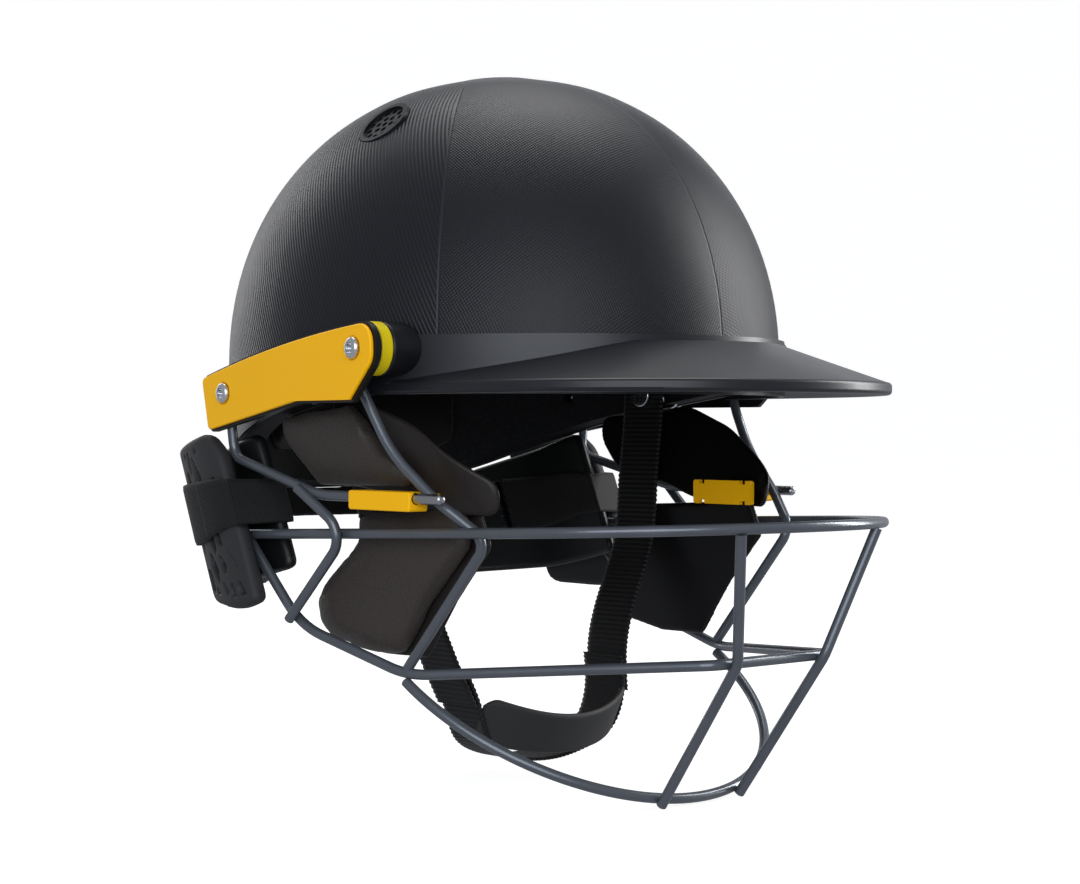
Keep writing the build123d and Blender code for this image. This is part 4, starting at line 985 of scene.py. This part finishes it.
def studio_floor():
    """A seamless white sweep behind and under the helmet, square to the camera."""
    mesh = bmesh.new()
    profile = [(paper_front, 0.0), (sweep_back - sweep_radius, 0.0)]
    for step in range(1, sweep_steps + 1):
        turn = math.radians(90 * step / sweep_steps)
        run = sweep_back - sweep_radius + sweep_radius * math.sin(turn)
        profile.append((run, sweep_radius * (1 - math.cos(turn))))
    profile.append((sweep_back, paper_rise))
    rows = []
    for run, rise in profile:
        rows.append([
            mesh.verts.new((side, run, floor_level + rise))
            for side in (-paper_half_width, paper_half_width)])
    for near, far in zip(rows, rows[1:]):
        face = mesh.faces.new((near[0], near[1], far[1], far[0]))
        face.smooth = True
    data = bpy.data.meshes.new("studio_floor")
    mesh.to_mesh(data)
    mesh.free()
    floor = bpy.data.objects.new("studio_floor", data)
    floor.rotation_euler = (0, 0, -camera_turn)
    # The paper is lit from behind to stay white, and that light is kept off the helmet
    floor.visible_diffuse = False
    floor.visible_glossy = False
    bpy.context.collection.objects.link(floor)
    material, tree, shader = blank_material("white_paper", 0.9)
    shader.inputs["Base Color"].default_value = hex_colour("#8c8c8c")
    shader.inputs["Emission Color"].default_value = hex_colour("#ffffff")
    shader.inputs["Emission Strength"].default_value = 0.88
    data.materials.append(material)


looking = Vector((
    math.sin(camera_turn) * math.cos(camera_dip),
    math.cos(camera_turn) * math.cos(camera_dip),
    -math.sin(camera_dip),
))
camera_data = bpy.data.cameras.new("photo_camera")
camera_data.sensor_width = 36.0
camera_data.lens = lens_px / photo_width_px * camera_data.sensor_width
camera_data.clip_start = 0.01
camera = bpy.data.objects.new("photo_camera", camera_data)
camera.location = camera_place
camera.rotation_euler = looking.to_track_quat("-Z", "Y").to_euler()
bpy.context.collection.objects.link(camera)
bpy.context.scene.camera = camera
bpy.context.scene.view_settings.view_transform = "Standard"
studio_floor()


def soft_light(name, place, wide, high, radiance, tint="#ffffff"):
    """A rectangular soft box aimed at the helmet, by how bright its face is."""
    data = bpy.data.lights.new(name, "AREA")
    data.shape = "RECTANGLE"
    data.size = wide
    data.size_y = high
    data.energy = radiance * math.pi * wide * high
    data.color = hex_colour(tint)[:3]
    light = bpy.data.objects.new(name, data)
    light.location = place
    light.rotation_euler = (-Vector(place)).to_track_quat("-Z", "Y").to_euler()
    bpy.context.collection.objects.link(light)


soft_light("top_box", (0.34, 0.37, 1.4), 1.0, 0.8, 4.3)
soft_light("right_strip", (1.41, -0.65, 0.45), 0.35, 1.2, 20.0)
soft_light("left_strip", (0.07, 1.5, 0.45), 0.35, 1.2, 3.0)
soft_light("back_strip", (1.1, 1.2, 0.6), 1.4, 0.3, 1.0)
soft_light("front_box", (-1.3, -1.15, 0.35), 1.7, 1.3, 3.4, "#f2f7ff")

world = bpy.data.worlds.new("studio_surround")
bpy.context.scene.world = world
world.use_nodes = True
sky = world.node_tree
sky.nodes.clear()
path = add_node(sky, "ShaderNodeLightPath", {}, {})
seen = add_node(sky, "ShaderNodeBackground", {}, {"Color": hex_colour("#ffffff"), "Strength": 1.0})
cast = add_node(sky, "ShaderNodeBackground", {}, {"Color": hex_colour("#f4f6ff"), "Strength": 0.42})
mix = add_node(sky, "ShaderNodeMixShader", {}, {
    0: path.outputs["Is Camera Ray"], 1: cast.outputs[0], 2: seen.outputs[0]})
add_node(sky, "ShaderNodeOutputWorld", {}, {"Surface": mix.outputs[0]})
